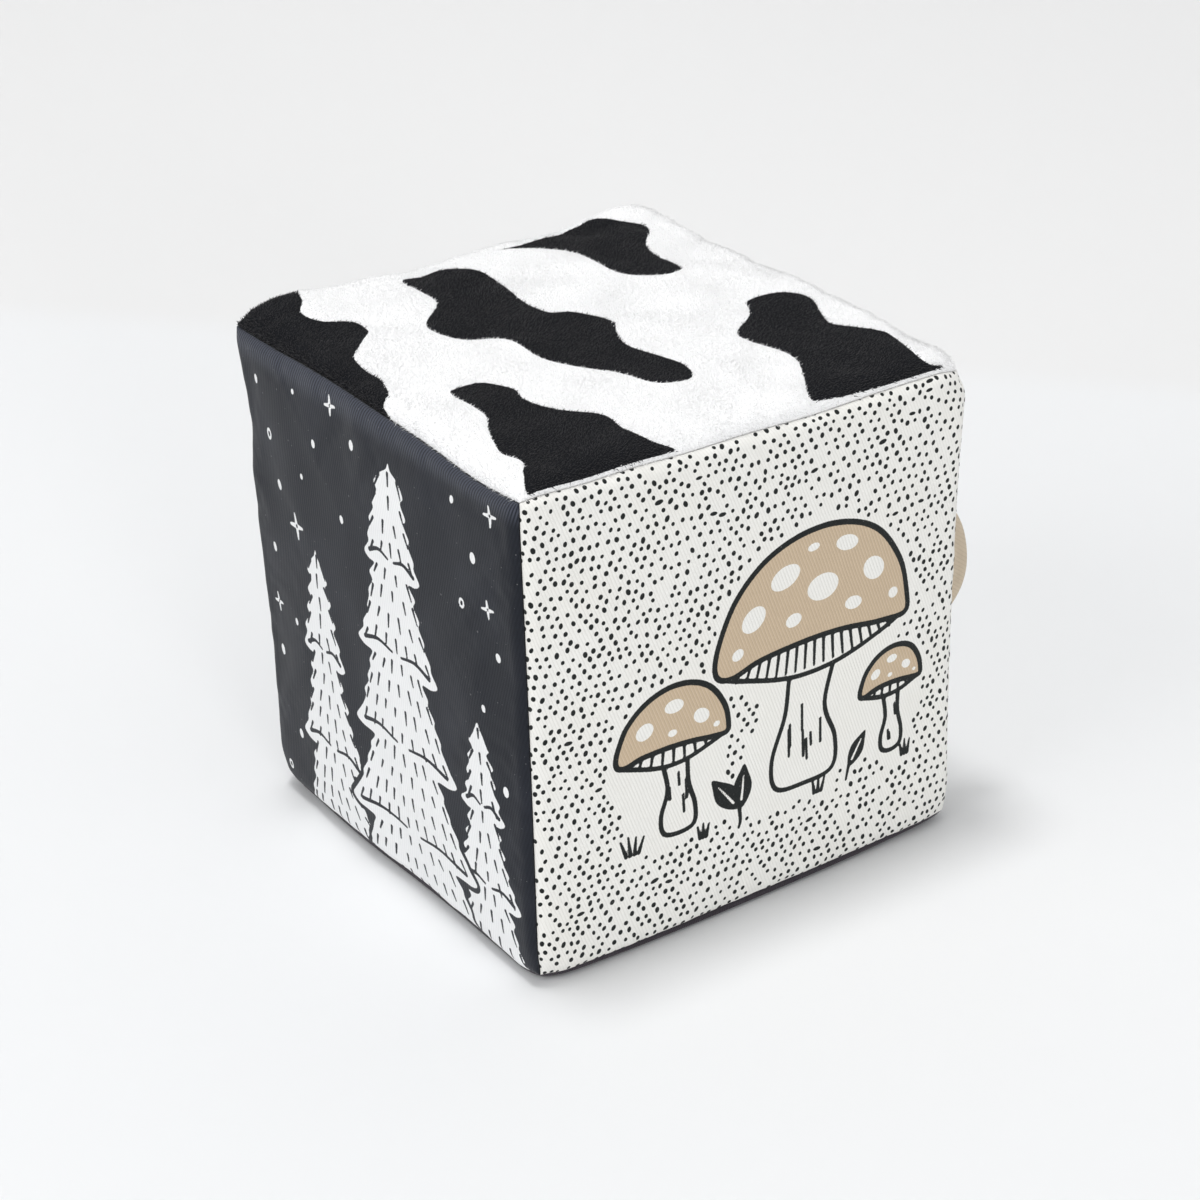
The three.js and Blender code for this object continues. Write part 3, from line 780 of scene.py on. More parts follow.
def night_marks(made, ovals, stars, rings):
    """Ovals, small stars with four soft points and an open middle, and rings."""
    for x, y, half_across, half_along in ovals:
        made.oval("white", (x, y), half_across, half_along, MARK_TURN_DEG)
    for x, y, size in stars:
        for k in range(4):
            angle = math.radians(MARK_TURN_DEG) + k * math.pi / 2
            point = size * np.array([math.cos(angle), math.sin(angle)])
            ends = [(x, y) + share * point for share in (0.3, 1)]
            made.stroke("white", ends, 0.42 * size, 0.25 * size)
        made.oval("white", (x, y), 0.16 * size, 0.16 * size, cut=True)
    for x, y, size in rings:
        made.oval("white", (x, y), size, size * 1.2)
        made.oval("white", (x, y), size * 0.45, size * 0.6, cut=True)


# Drawn pines: how much narrower they are at the top, and the inner ends of their tiers, in
# shares, how many ragged points each side of a tier has, and how far apart needle strokes are
PINE_TAPER = 0.82
TIER_NOTCH = 0.62
TIER_POINTS = 5
NEEDLE_ROW_GAP_MM = 6.0
NEEDLE_GAP_MM = 4.3
NEEDLE_MARGIN_MM = 2.4
NEEDLE_WIDTH_MM = 0.95
TIER_SHADE_WIDTH_MM = 1.2
PINE_HALO_MM = 1.4

# The pines of the black left side, the nearest last: the middle, foot, top and half width of
# each in millimetres, the number of its tiers, and the seed of its small strokes
PINES = ((-27, -68, 14, 20, 3, 21), (44, -68, -2, 17, 3, 23), (10, -72, 50, 32, 5, 22))


def pine(made, middle, foot, top, half_width, tiers, seed):
    """A drawn pine: a white tree with ragged tiers, covered in short dark needle strokes."""
    rng = np.random.default_rng(seed)
    gap = (top - foot) / tiers
    levels = [foot + gap * tier for tier in range(tiers)]
    widths = [half_width * (1 - PINE_TAPER * tier / tiers) for tier in range(tiers + 1)]
    right = []
    for tier in range(tiers):
        low, wide = levels[tier], widths[tier]
        narrow = widths[tier + 1] * TIER_NOTCH
        right.append((wide * 0.93, low - 0.8))
        for k in range(TIER_POINTS):
            share = k / TIER_POINTS
            reach = wide + (narrow - wide) * share**0.8
            level = low + gap * share
            right.append((reach + 1.0 + 0.6 * rng.random(), level + 0.7))
            right.append((reach - 0.9, level + gap / TIER_POINTS * 0.75))
    right.append((0.9, top + 0.5))
    left = [(-x + 0.8 * (rng.random() - 0.5), y) for x, y in reversed(right)]
    outline = [(middle + x, y) for x, y in right + [(0, top + 2.2)] + left]
    part, distance = made.area(outline)
    made.clear(part, distance - PINE_HALO_MM)
    made.add("white", part, distance)
    for tier, (low, wide) in enumerate(zip(levels, widths)):
        rows = max(2, round(gap / NEEDLE_ROW_GAP_MM))
        for row in range(rows):
            level = low + gap * (row + 0.55) / rows
            reach = wide * (1 - 0.5 * (row + 0.5) / rows) - NEEDLE_MARGIN_MM
            count = max(2, round(2 * reach / NEEDLE_GAP_MM))
            for share in np.arange(count + 1) * 2 / count - 1:
                x = middle + reach * share + 0.9 * (rng.random() - 0.5)
                y = level + 1.2 * (1 - share**2) + 1.3 * (rng.random() - 0.5)
                lean = 1.6 * share + 0.5 * (rng.random() - 0.5)
                half = (2.2 + 1.5 * rng.random()) / 2
                made.clear_stroke("white", [(x, y + half), (x + lean, y - half)], NEEDLE_WIDTH_MM)
        for reach in (-wide, wide) if tier else ():
            shade = [(0.88, 1.6), (0.5, 3.2), (0.12, 2.2)]
            under = [(middle + reach * share, low + rise) for share, rise in shade]
            made.clear_stroke("white", under, TIER_SHADE_WIDTH_MM)


def left_print():
    made = Print("left", ["white"])
    night_marks(made, LEFT_OVALS_MM, LEFT_STARS_MM, LEFT_RINGS_MM)
    for shape in PINES:
        pine(made, *shape)
    return made


BACK_MARKS = 42
BACK_MARKS_HALF_MM = 56
BACK_MARKS_APART_MM = 12


def back_print():
    """Marks strewn over the plain back, none close to another."""
    made = Print("back", ["white"])
    rng = np.random.default_rng(31)
    taken = []
    ovals, stars, rings = [], [], []
    while len(taken) < BACK_MARKS:
        x, y = (rng.random(2) * 2 - 1) * BACK_MARKS_HALF_MM
        if any(math.hypot(x - p, y - q) < BACK_MARKS_APART_MM for p, q in taken):
            continue
        taken.append((x, y))
        kind = len(taken) % 6
        if kind == 0:
            stars.append((x, y, 2.2 + rng.random()))
        elif kind == 3:
            rings.append((x, y, 1.2))
        else:
            ovals.append((x, y, 0.6 + 0.5 * rng.random(), 0.9 + 0.6 * rng.random()))
    night_marks(made, ovals, stars, rings)
    return made


# Relief of the cloth: soft undulations, and puckers that fade away from the seams

RIPPLE_WAVES = 14
RELIEF_LENGTHS_MM = (14, 46)
PUCKER_LENGTHS_MM = (4.5, 11)
PUCKER_REACH_MM = 5.5
PUCKER_SLANT = 0.25
RELIEF_FADE_SHARE = 0.02


def ripple(across_mm, along_mm, seed, shortest_mm, longest_mm):
    """Smooth random waves of unit height over a side."""
    rng = np.random.default_rng(seed)
    total = np.zeros(across_mm.shape)
    for _ in range(RIPPLE_WAVES):
        length = shortest_mm * (longest_mm / shortest_mm) ** rng.random()
        heading, phase = rng.random(2) * 2 * math.pi
        place = across_mm * math.cos(heading) + along_mm * math.sin(heading)
        total += np.sin(2 * math.pi * place / length + phase)
    return total / math.sqrt(RIPPLE_WAVES / 2)


def cloth_relief(side, seed, wave_mm=0.12, pucker_mm=0.12):
    """How far the cloth of a side lies above its smooth crown, in metres."""
    shares = SIDES[side].grid(FINE_STEPS)
    places_mm = [share * SEAM_HALF / MM for share in shares]
    relief_mm = wave_mm * ripple(*places_mm, seed, *RELIEF_LENGTHS_MM)
    for place, other, wave_seed in zip(places_mm, places_mm[::-1], (seed + 1, seed + 2)):
        from_seam = SEAM_HALF / MM - np.abs(other)
        run = ripple(place, from_seam * PUCKER_SLANT, wave_seed, *PUCKER_LENGTHS_MM)
        relief_mm += pucker_mm * run * np.exp(-from_seam / PUCKER_REACH_MM)
    for share in shares:
        relief_mm *= np.clip((1 - np.abs(share)) / RELIEF_FADE_SHARE, 0, 1)
    return relief_mm * MM


# Cloth simulation: the six sides sewn together with a little spare cloth and filled tight

SIM_STEPS = 48
SIM_FRAMES = 24
SIM_WELD = 0.07 * MM
CREASE_SHARE = 0.4
CREASE_REACH = 0.5 * MM
SIM_SETTINGS = {
    "quality": 6, "mass": 0.3, "tension_stiffness": 60, "compression_stiffness": 60,
    "shear_stiffness": 15, "bending_stiffness": 0.5, "air_damping": 2,
    "vertex_group_mass": "sewn", "shrink_min": -0.004, "use_pressure": True,
    "uniform_pressure_force": 2,
}


def sewn_cover():
    """One coarse mesh of all the sides joined at their seams, and each side's point numbers."""
    a, b = share_grid(SIM_STEPS)
    places = np.concatenate([side.surface(a, b).reshape(-1, 3) for side in SIDES.values()])
    _, kept, numbers = np.unique(
        np.round(places / SIM_WELD).astype(int), axis=0, return_index=True, return_inverse=True
    )
    numbers = numbers.reshape(len(SIDES), -1)
    quads = numbers[:, grid_quads(SIM_STEPS)].reshape(-1, 4)
    return make_mesh("sewn_cover", warp(places[kept]), quads), numbers


def fill_cover(cover, sewn):
    """Simulates the filled cover with its seams held, and gives where its points end up."""
    cover.vertex_groups.new(name="sewn").add(sewn.tolist(), 1.0, "REPLACE")
    cloth = cover.modifiers.new("cloth", "CLOTH")
    for name, value in SIM_SETTINGS.items():
        setattr(cloth.settings, name, value)
    cloth.settings.effector_weights.gravity = 0
    cloth.collision_settings.use_collision = False
    cloth.point_cache.frame_end = SIM_FRAMES
    for frame_number in range(1, SIM_FRAMES + 1):
        bpy.context.scene.frame_set(frame_number)
    apply_modifiers(cover)
    bpy.context.scene.frame_set(1)
    return mesh_points(cover)


def refine(values, shares):
    """A coarse square grid of numbers read at other shares, along smooth curves."""
    for _ in range(2):
        count = len(values) - 1
        place = (shares + 1) / 2 * count
        low = np.minimum(place.astype(int), count - 1)
        padded = carried_on(values)
        around = (padded[low + k] for k in range(4))
        values = curve_between(*around, (place - low)[:, None]).T
    return values


def filled_relief():
    """How far the filled cloth of each side lies above its smooth crown: its creases, without
    the even swelling that the crown has already."""
    cover, numbers = sewn_cover()
    before = mesh_points(cover)
    after = fill_cover(cover, np.unique(numbers[:, grid_border(SIM_STEPS)]))
    bpy.data.objects.remove(cover)
    lifts = []
    for side_numbers in numbers:
        start = before[side_numbers].reshape(SIM_STEPS + 1, -1, 3)
        moved = after[side_numbers].reshape(start.shape) - start
        lifts.append((moved * grid_normals(start)).sum(-1))
    turned = [way for lift in lifts for way in (lift, lift.T)]
    even = np.mean([way + way[::-1] + way[:, ::-1] + way[::-1, ::-1] for way in turned], 0) / 4
    creases = {}
    for (name, side), lift in zip(SIDES.items(), lifts):
        crease = np.clip(CREASE_SHARE * (lift - even), -CREASE_REACH, CREASE_REACH)
        creases[name] = refine(crease, side.places(FINE_STEPS)[1])
    return creases


# Plush pile: how dense its tufts are, their sizes, and how they lean, each a little differently
# and together in slow waves

PILE_DENSITY_PER_MM2 = 4.6
TUFT_HALF_WIDTH = 0.15 * MM
TUFT_WIDTH_SHARES = (0.75, 1.25)
TUFT_LENGTH_SHARES = (0.65, 1.1)
TUFT_DEPTH = 0.25 * MM
PILE_LEAN = np.array([0.45, -0.6, 0.0])
LEAN_SPREAD = 0.2
LEAN_WAVES = 0.18
LEAN_WAVE_LENGTHS_MM = (9, 30)
ROLL_SPREAD = 0.12
PATCH_EDGE_SPREAD_MM = 0.2

# Longer and looser tufts at the seams, and a white fringe along the front one
SEAM_FUZZ_REACH_MM = 1.4
SEAM_FUZZ_LENGTH_SHARE = 0.9
SEAM_FUZZ_SPREAD = 0.4
FRONT_FRINGE_MM = 0.2
FRONT_FRINGE_STEEPNESS = 4
FRONT_FRINGE_LEAN = np.array([0.1, -0.5, -0.45])


def tuft_roots(points, normals, fields, rng):
    """Random roots spread evenly over a grid of points, with what is known there."""
    p00, p10 = points[:-1, :-1], points[:-1, 1:]
    p01, p11 = points[1:, :-1], points[1:, 1:]
    areas = np.linalg.norm(np.cross(p11 - p00, p01 - p10), axis=-1) / 2
    wanted = areas.ravel() * PILE_DENSITY_PER_MM2 / MM**2
    counts = np.floor(wanted + rng.random(len(wanted))).astype(int)
    cell = np.repeat(np.arange(len(wanted)), counts)
    row, column = np.divmod(cell, points.shape[1] - 1)
    u, v = rng.random((2, len(cell)))

    def at(values):
        low = values[row, column].T * (1 - u) + values[row, column + 1].T * u
        high = values[row + 1, column].T * (1 - u) + values[row + 1, column + 1].T * u
        return (low * (1 - v) + high * v).T

    return at(points), at(normals), at(fields)


def tuft_mesh(name, roots, directions, lengths, rng):
    """Short tapering tufts, each closed with three sides and a base, in one mesh."""
    count = len(roots)
    aside = np.cross(directions, rng.normal(size=(count, 3)))
    aside /= np.linalg.norm(aside, axis=1, keepdims=True)
    across = np.cross(directions, aside)
    widths = TUFT_HALF_WIDTH * rng.uniform(*TUFT_WIDTH_SHARES, count)[:, None]
    points = []
    for turn in (0, 2 * math.pi / 3, 4 * math.pi / 3):
        points.append(roots + widths * (aside * math.cos(turn) + across * math.sin(turn)))
    points.append(roots + directions * lengths[:, None])
    faces = np.array([[0, 1, 3], [1, 2, 3], [2, 0, 3], [0, 2, 1]])
    triangles = (np.arange(count)[:, None, None] * 4 + faces).reshape(-1, 3)
    made = make_mesh(name, np.stack(points, 1).reshape(-1, 3), (), triangles)
    tint = np.repeat(rng.random(count), 4)
    tint[3::4] += 1
    set_attribute(made, "tuft", tint)
    return made


def plush_patches():
    """Distances to the black patches over the top, kept off the white fringe at its front."""
    made = Print("top", ["black"])
    for outline in COW_PATCHES_MM:
        made.add("black", *made.area(outline))
    _, b = SIDES["top"].grid(FINE_STEPS)
    in_fringe_mm = FRONT_FRINGE_MM - (1 + b) * SEAM_HALF / MM
    return np.maximum(made.layers["black"], FRONT_FRINGE_STEEPNESS * in_fringe_mm)


def plush_pile(points, patches_mm):
    """White and black tufts over the whole top, which overhang its seams a little, with a white
    fringe along the front seam."""
    rng = np.random.default_rng(7)
    normals = grid_normals(points)
    a, b = SIDES["top"].grid(FINE_STEPS)
    from_seam_mm = (1 - np.maximum(np.abs(a), np.abs(b))) * SEAM_HALF / MM
    from_front_mm = (1 + b) * SEAM_HALF / MM
    known = np.stack([patches_mm, from_seam_mm, from_front_mm], -1)
    roots, directions, known = tuft_roots(points, normals, known, rng)
    patch, from_seam_mm, from_front_mm = known.T
    fringe = from_front_mm < FRONT_FRINGE_MM
    lean = PILE_LEAN + LEAN_SPREAD * rng.normal(size=roots.shape)
    x_mm, y_mm, _ = roots.T / MM
    for way, wave_seed in ((0, 5), (1, 6)):
        lean[:, way] += LEAN_WAVES * ripple(x_mm, y_mm, wave_seed, *LEAN_WAVE_LENGTHS_MM)
    flat = np.clip(directions[:, 2:3], 0, 1)
    fuzz = np.exp(-from_seam_mm / SEAM_FUZZ_REACH_MM)
    spread = ROLL_SPREAD * (1 - flat) + SEAM_FUZZ_SPREAD * fuzz[:, None]
    directions = directions + lean * flat + spread * rng.normal(size=roots.shape)
    directions += fringe[:, None] * FRONT_FRINGE_LEAN
    directions /= np.linalg.norm(directions, axis=1, keepdims=True)
    lengths = PILE_LENGTH * rng.uniform(*TUFT_LENGTH_SHARES, len(roots))
    lengths *= 1 + SEAM_FUZZ_LENGTH_SHARE * fuzz * rng.random(len(roots))
    roots = roots - directions * TUFT_DEPTH
    black = patch + PATCH_EDGE_SPREAD_MM * rng.normal(size=len(roots)) < 0
    made = []
    for name, chosen in (("white_plush_pile", ~black), ("black_plush_pile", black)):
        made.append(tuft_mesh(name, roots[chosen], directions[chosen], lengths[chosen], rng))
    return made


# Tab: a lobe of doubled cloth with a rolled rim and a dished middle, bent and a little wavy

TAB_HALF_LENGTH = 20.0 * MM
TAB_REACH = 12.4 * MM
TAB_THICKNESS = 2.2 * MM
TAB_CURL = 1.5 * MM
TAB_WAVE, TAB_WAVE_SWEEP, TAB_WAVE_PHASE = 0.35 * MM, 5.0, 0.6
TAB_BEHIND_FRONT_SEAM = 14.5 * MM
TAB_BELOW_MIDDLE = 0.4 * MM
TAB_RIM_RADIUS = 1.0 * MM
TAB_RIM_OVERHANG_SHARE = 0.048
TAB_RIM_STEPS, TAB_RIM_SWEEP = 5, 0.35 * math.pi
TAB_DISHED_HALF = 0.55 * MM
TAB_DISH_START, TAB_DISH_BLEND = 0.72, 0.16
TAB_CENTRE_SHARE = 0.42
TAB_RING_SHARES = np.array([0.25, 0.45, 0.6, 0.72, 0.8, 0.86, 0.9, 0.94, 0.97])
TAB_ARC_POINTS = 72


def tab_outline():
    """Points round the lobe from the low end of its sewn side, and the straight side back."""
    radius = (TAB_HALF_LENGTH**2 + TAB_REACH**2) / (2 * TAB_REACH)
    middle = TAB_REACH - radius
    sweep = math.atan2(TAB_HALF_LENGTH, -middle)
    angles = np.linspace(-sweep, sweep, TAB_ARC_POINTS)
    arc = np.stack([middle + radius * np.cos(angles), radius * np.sin(angles)], -1)
    back = np.linspace(TAB_HALF_LENGTH, -TAB_HALF_LENGTH, TAB_ARC_POINTS // 2 + 2)[1:-1]
    return np.vstack([arc, np.stack([np.zeros(len(back)), back], -1)])


def tab_base():
    """The middle of the tab's sewn side, from its CAD piece's box."""
    low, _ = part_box("tan_tab")
    return np.array([
        low.x + TAB_THICKNESS / 2,
        -SEAM_HALF + TAB_BEHIND_FRONT_SEAM,
        MIDDLE_HEIGHT - TAB_BELOW_MIDDLE,
    ])


def tab_mesh():
    """Rings round the lobe, from its middle on one face, over the rim, to that on the other."""
    dish = np.clip((TAB_RING_SHARES - TAB_DISH_START) / TAB_DISH_BLEND, 0, 1)
    dish = dish * dish * (3 - 2 * dish)
    halves = TAB_DISHED_HALF + (TAB_RIM_RADIUS - TAB_DISHED_HALF) * dish
    rim = np.linspace(TAB_RIM_SWEEP, -TAB_RIM_SWEEP, TAB_RIM_STEPS)
    rim_shares = 1 + TAB_RIM_OVERHANG_SHARE * np.cos(rim)
    shares = np.concatenate([TAB_RING_SHARES, rim_shares, TAB_RING_SHARES[::-1]])
    layers = np.concatenate([halves, TAB_RIM_RADIUS * np.sin(rim), -halves[::-1]])
    base = tab_base()
    centre = np.array([[TAB_REACH * TAB_CENTRE_SHARE, 0]])

    def bent(flat, layer):
        reach = flat[:, 0] / TAB_REACH
        curl = TAB_CURL * np.clip(reach, 0, None) ** 2
        turn = flat[:, 1] / TAB_HALF_LENGTH * TAB_WAVE_SWEEP + TAB_WAVE_PHASE
        wave = TAB_WAVE * np.sin(turn) * np.clip(reach, 0, 1)
        return base + np.stack([flat[:, 0], -curl + wave - layer, flat[:, 1]], -1)

    away = tab_outline() - centre
    rings = [bent(centre + away * share, layer) for share, layer in zip(shares, layers)]
    ends = [bent(centre, half) for half in (TAB_DISHED_HALF, -TAB_DISHED_HALF)]
    vertices = np.concatenate([ends[0], *rings, ends[1]])
    numbers = 1 + np.arange(len(rings) * len(away)).reshape(len(rings), -1)
    quads = [band_quads(after, before) for before, after in zip(numbers, numbers[1:])]
    fans = []
    for middle, ring in ((0, numbers[0]), (len(vertices) - 1, numbers[-1][::-1])):
        fans.append(np.stack([np.full(len(ring), middle), ring, np.roll(ring, -1)], -1))
    uv = (vertices - base)[:, [0, 2]]
    return make_mesh("tan_tab_cloth", vertices, np.concatenate(quads), np.concatenate(fans), uv)


# Foam: the CAD halves, softened into cut foam

FOAM_VOXEL = 2.2 * MM
FOAM_SMOOTHING = 6


def foam_half(node):
    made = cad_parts[node].copy()
    made.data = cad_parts[node].data.copy()
    made.name = node + "_foam"
    made.parent = None
    for key in list(made.keys()):
        del made[key]
    bpy.context.scene.collection.objects.link(made)
    remesh = made.modifiers.new("remesh", "REMESH")
    remesh.mode = "VOXEL"
    remesh.voxel_size = FOAM_VOXEL
    made.modifiers.new("smooth", "SMOOTH").iterations = FOAM_SMOOTHING
    apply_modifiers(made)
    return made


# Materials

MIX_SHARE, MIX_FIRST, MIX_SECOND, MIX_RESULT = 0, 6, 7, 2


class Value:
    """A number that a material works out at each point, open to plain arithmetic."""

    def __init__(self, shader, socket):
        self.shader = shader
        self.socket = socket

    def by(self, operation, *others):
        return Value(self.shader, self.shader.combine("Math", operation, self, *others)[0])

    def __add__(self, other):
        return self.by("ADD", other)

    def __sub__(self, other):
        return self.by("SUBTRACT", other)

    def __mul__(self, other):
        return self.by("MULTIPLY", other)

    def __pow__(self, power):
        return self.by("POWER", power)

    def arches(self):
        """Rises from 0 to 1 and falls again between each whole number and the next."""
        return (self * math.pi).by("SINE").by("ABSOLUTE")

    def fade(self, low, high, to_low=0.0, to_high=1.0):
        """A smooth step from to_low, where this is low, to to_high, where it is high."""
        return Value(self.shader, self.shader.node(
            "MapRange", {"interpolation_type": "SMOOTHSTEP"}, Value=self,
            From_Min=low, From_Max=high, To_Min=to_low, To_Max=to_high,
        )["Result"])

    def below(self, level, blur):
        """1 where this is less than a level and 0 where it is more, with a soft change."""
        return self.fade(level - blur, level + blur, 1.0, 0.0)


class Shader:
    """A material's nodes, made by short calls that give what comes out of them."""

    def __init__(self, name, roughness, specular=0.2, sheen=0.0, sheen_roughness=0.5):
        self.material = bpy.data.materials.new(name)
        self.material.use_nodes = True
        self.tree = self.material.node_tree
        self.surface = self.tree.nodes["Principled BSDF"].inputs
        self.surface["Roughness"].default_value = roughness
        self.surface["Specular IOR Level"].default_value = specular
        self.surface["Sheen Weight"].default_value = sheen
        self.surface["Sheen Roughness"].default_value = sheen_roughness

    def put(self, socket, value):
        """Joins a socket to what is worked out, or gives it a fixed value."""
        if isinstance(value, Value):
            value = value.socket
        if isinstance(value, bpy.types.NodeSocket):
            self.tree.links.new(value, socket)
        elif value is not None:
            socket.default_value = (*value, 1) if socket.type == "RGBA" else value

    def node(self, kind, settings=None, **inputs):
        made = self.tree.nodes.new("ShaderNode" + kind)
        for name, value in (settings or {}).items():
            setattr(made, name, value)
        for name, value in inputs.items():
            self.put(made.inputs[name.replace("_", " ")], value)
        return made.outputs

    def combine(self, kind, operation, *values):
        made = self.tree.nodes.new("ShaderNode" + kind)
        made.operation = operation
        for socket, value in zip(made.inputs, values):
            self.put(socket, value)
        return made.outputs

    def mix(self, share, first, second):
        """A colour between two others."""
        made = self.tree.nodes.new("ShaderNodeMix")
        made.data_type = "RGBA"
        for number, value in ((MIX_SHARE, share), (MIX_FIRST, first), (MIX_SECOND, second)):
            self.put(made.inputs[number], value)
        return made.outputs[MIX_RESULT]

    def field(self, name):
        """A number that the mesh holds."""
        return Value(self, self.node("Attribute", {"attribute_name": name})["Fac"])

    def vector_field(self, name):
        return self.node("Attribute", {"attribute_name": name})["Vector"]

    def noise(self, place, scale, detail=2.0):
        made = self.node("TexNoise", None, Vector=place, Scale=scale, Detail=detail)
        return Value(self, made["Fac"])

    def cloth_place(self):
        """Place on the cloth in millimetres, from the mesh's cloth coordinates."""
        place = self.node("UVMap", {"uv_map": "cloth"})["UV"]
        return self.combine("VectorMath", "MULTIPLY", place, (1 / MM, 1 / MM, 1 / MM))["Vector"]

    def object_place(self):
        return self.node("TexCoord")["Object"]

    def split(self, vector):
        return [Value(self, part) for part in self.node("SeparateXYZ", None, Vector=vector)]

    def bump(self, height, distance_mm, strength):
        made = self.node("Bump", None, Height=height, Distance=distance_mm * MM, Strength=strength)
        return made["Normal"]

    def finish(self, color, normal=None, roughness=None):
        self.put(self.surface["Base Color"], color)
        self.put(self.surface["Normal"], normal)
        self.put(self.surface["Roughness"], roughness)
        return self.material


OFF_WHITE = (0.85, 0.842, 0.81)
OFF_WHITE_WARM = (0.835, 0.815, 0.76)
OFF_WHITE_SHADE = (0.71, 0.70, 0.655)
INK = (0.0085, 0.011, 0.011)
TAN_INK = (0.55, 0.43, 0.30)
TAN_INK_LIGHT = (0.67, 0.555, 0.42)
BLACK_CLOTH = (0.0105, 0.0126, 0.0182)
# The black twill's lighter colour: for its own random mottle, and for the painted sheen along its
# rolled top edge
BLACK_CLOTH_MOTTLE_AND_SHEEN = (0.060, 0.066, 0.088)
WHITE_PRINT = (0.88, 0.885, 0.89)
WHITE_PRINT_SHADE = (0.70, 0.71, 0.72)
LINT = (0.3, 0.3, 0.31)
CHARCOAL = (0.040, 0.034, 0.042)
CHARCOAL_LIGHT = (0.062, 0.055, 0.066)
TAN = (0.54, 0.45, 0.34)
TAN_LIGHT = (0.60, 0.51, 0.40)
TAN_SHADE = (0.41, 0.34, 0.25)
PLUSH_GROUND = (0.93, 0.93, 0.935)
PLUSH_WHITE = (0.96, 0.96, 0.965)
PLUSH_WHITE_TIP = (0.98, 0.98, 0.982)
PLUSH_BLACK = (0.013, 0.0137, 0.016)
PLUSH_BLACK_TIP = (0.042, 0.041, 0.044)
THREAD = (0.70, 0.69, 0.64)
THREAD_SHADE = (0.42, 0.41, 0.37)
FOAM = (0.84, 0.79, 0.60)
FOAM_SHADE = (0.62, 0.55, 0.36)
RATTLE_WHITE = (0.80, 0.79, 0.76)
BALL_CREAM = (0.66, 0.62, 0.52)

# Twills: the width and slant of their ribs, and how these wander and break up into floats
DOTTED_WALE_MM, DOTTED_SLANT_DEG = 0.81, 20.4
BLACK_WALE_MM, BLACK_SLANT_DEG = 0.87, -16.4
TAB_WALE_MM, TAB_SLANT_DEG = 0.9, 50.0
RIB_WANDER, RIB_WANDER_SCALE = 0.5, 0.08
FLOAT_WALES, FLOAT_STEP = 0.62, 0.37
TWILL_BUMP_MM = 0.1
YARN_PAIR_MM = 0.7

# Prints: how ragged their edges are and how soft; and the band near the top seams where the black
# twill's rolled edge gets a painted sheen
RAGGED_SCALE = 2.2
INK_RAGGED_MM, INK_BLUR_MM = 0.22, 0.08
WHITE_RAGGED_MM, WHITE_BLUR_MM = 0.24, 0.09
DOT_RAGGED_SHARE, DOT_BLUR_SHARE = 0.9, 0.12
TOP_RIM_SHEEN_START_MM, TOP_RIM_SHEEN_END_MM = 8.0, 2.0


def twill_weave(shader, place, wale_mm, slant_deg):
    """Height of a twill made of ribs across the cloth, each of short floats, and its ribs."""
    slant = math.radians(slant_deg)
    across, along, _ = shader.split(place)
    wander = shader.noise(place, RIB_WANDER_SCALE, 1.0) * RIB_WANDER
    rib = across * (math.cos(slant) / wale_mm) + along * (math.sin(slant) / wale_mm) + wander
    float_mm = FLOAT_WALES * wale_mm
    run = across * (-math.sin(slant) / float_mm) + along * (math.cos(slant) / float_mm)
    floats = (run + rib.by("FLOOR") * FLOAT_STEP).arches() ** 0.5
    ridge = rib.arches() ** 0.7
    woven = ridge * (floats * 0.45 + 0.55)
    return woven + shader.noise(place, 3.2, 3.0) * 0.3, ridge


def ragged_edge(shader, place, size_mm):
    return (shader.noise(place, RAGGED_SCALE) - 0.5) * size_mm


def dotted_twill_material(name, with_motif):
    shader = Shader(name, roughness=0.92, specular=0.12, sheen=0.12, sheen_roughness=0.6)
    place = shader.cloth_place()
    weave, ridge = twill_weave(shader, place, DOTTED_WALE_MM, DOTTED_SLANT_DEG)
    cloudy = shader.noise(place, 0.05).fade(0.35, 0.75, 0.0, 0.35)
    base = shader.mix(cloudy, OFF_WHITE, OFF_WHITE_WARM)
    # Painted shade: the off-white is darker in the grooves between the twill's ribs
    base = shader.mix(ridge.fade(0.0, 0.75, 0.55, 0.0), base, OFF_WHITE_SHADE)
    ragged = ragged_edge(shader, place, INK_RAGGED_MM)
    middle = shader.vector_field("dot_middle")
    from_dot = shader.combine("VectorMath", "SUBTRACT", place, middle)["Vector"]
    away_x, away_y, _ = shader.split(from_dot)
    axis_x, axis_y, stretch = shader.split(shader.vector_field("dot_axes"))
    in_long = away_x * axis_x + away_y * axis_y
    in_narrow = (away_y * axis_x - away_x * axis_y) * stretch
    away = (in_long * in_long + in_narrow * in_narrow).by("SQRT")
    ink = (ragged * DOT_RAGGED_SHARE + away).below(1.0, DOT_BLUR_SHARE)
    if with_motif:
        tan = shader.mix(ridge.fade(0.0, 0.8, 0.6, 0.0), TAN_INK, TAN_INK_LIGHT)
        base = shader.mix((shader.field("tan_mm") + ragged).below(0, INK_BLUR_MM), base, tan)
        ink = ink.by("MAXIMUM", (shader.field("ink_mm") + ragged).below(0, INK_BLUR_MM))
    thin = shader.noise(place, 1.7, 3.0).fade(0.62, 0.8, 1.0, 0.82)
    color = shader.mix(ink * thin, base, INK)
    return shader.finish(color, shader.bump(weave, TWILL_BUMP_MM, 0.55))


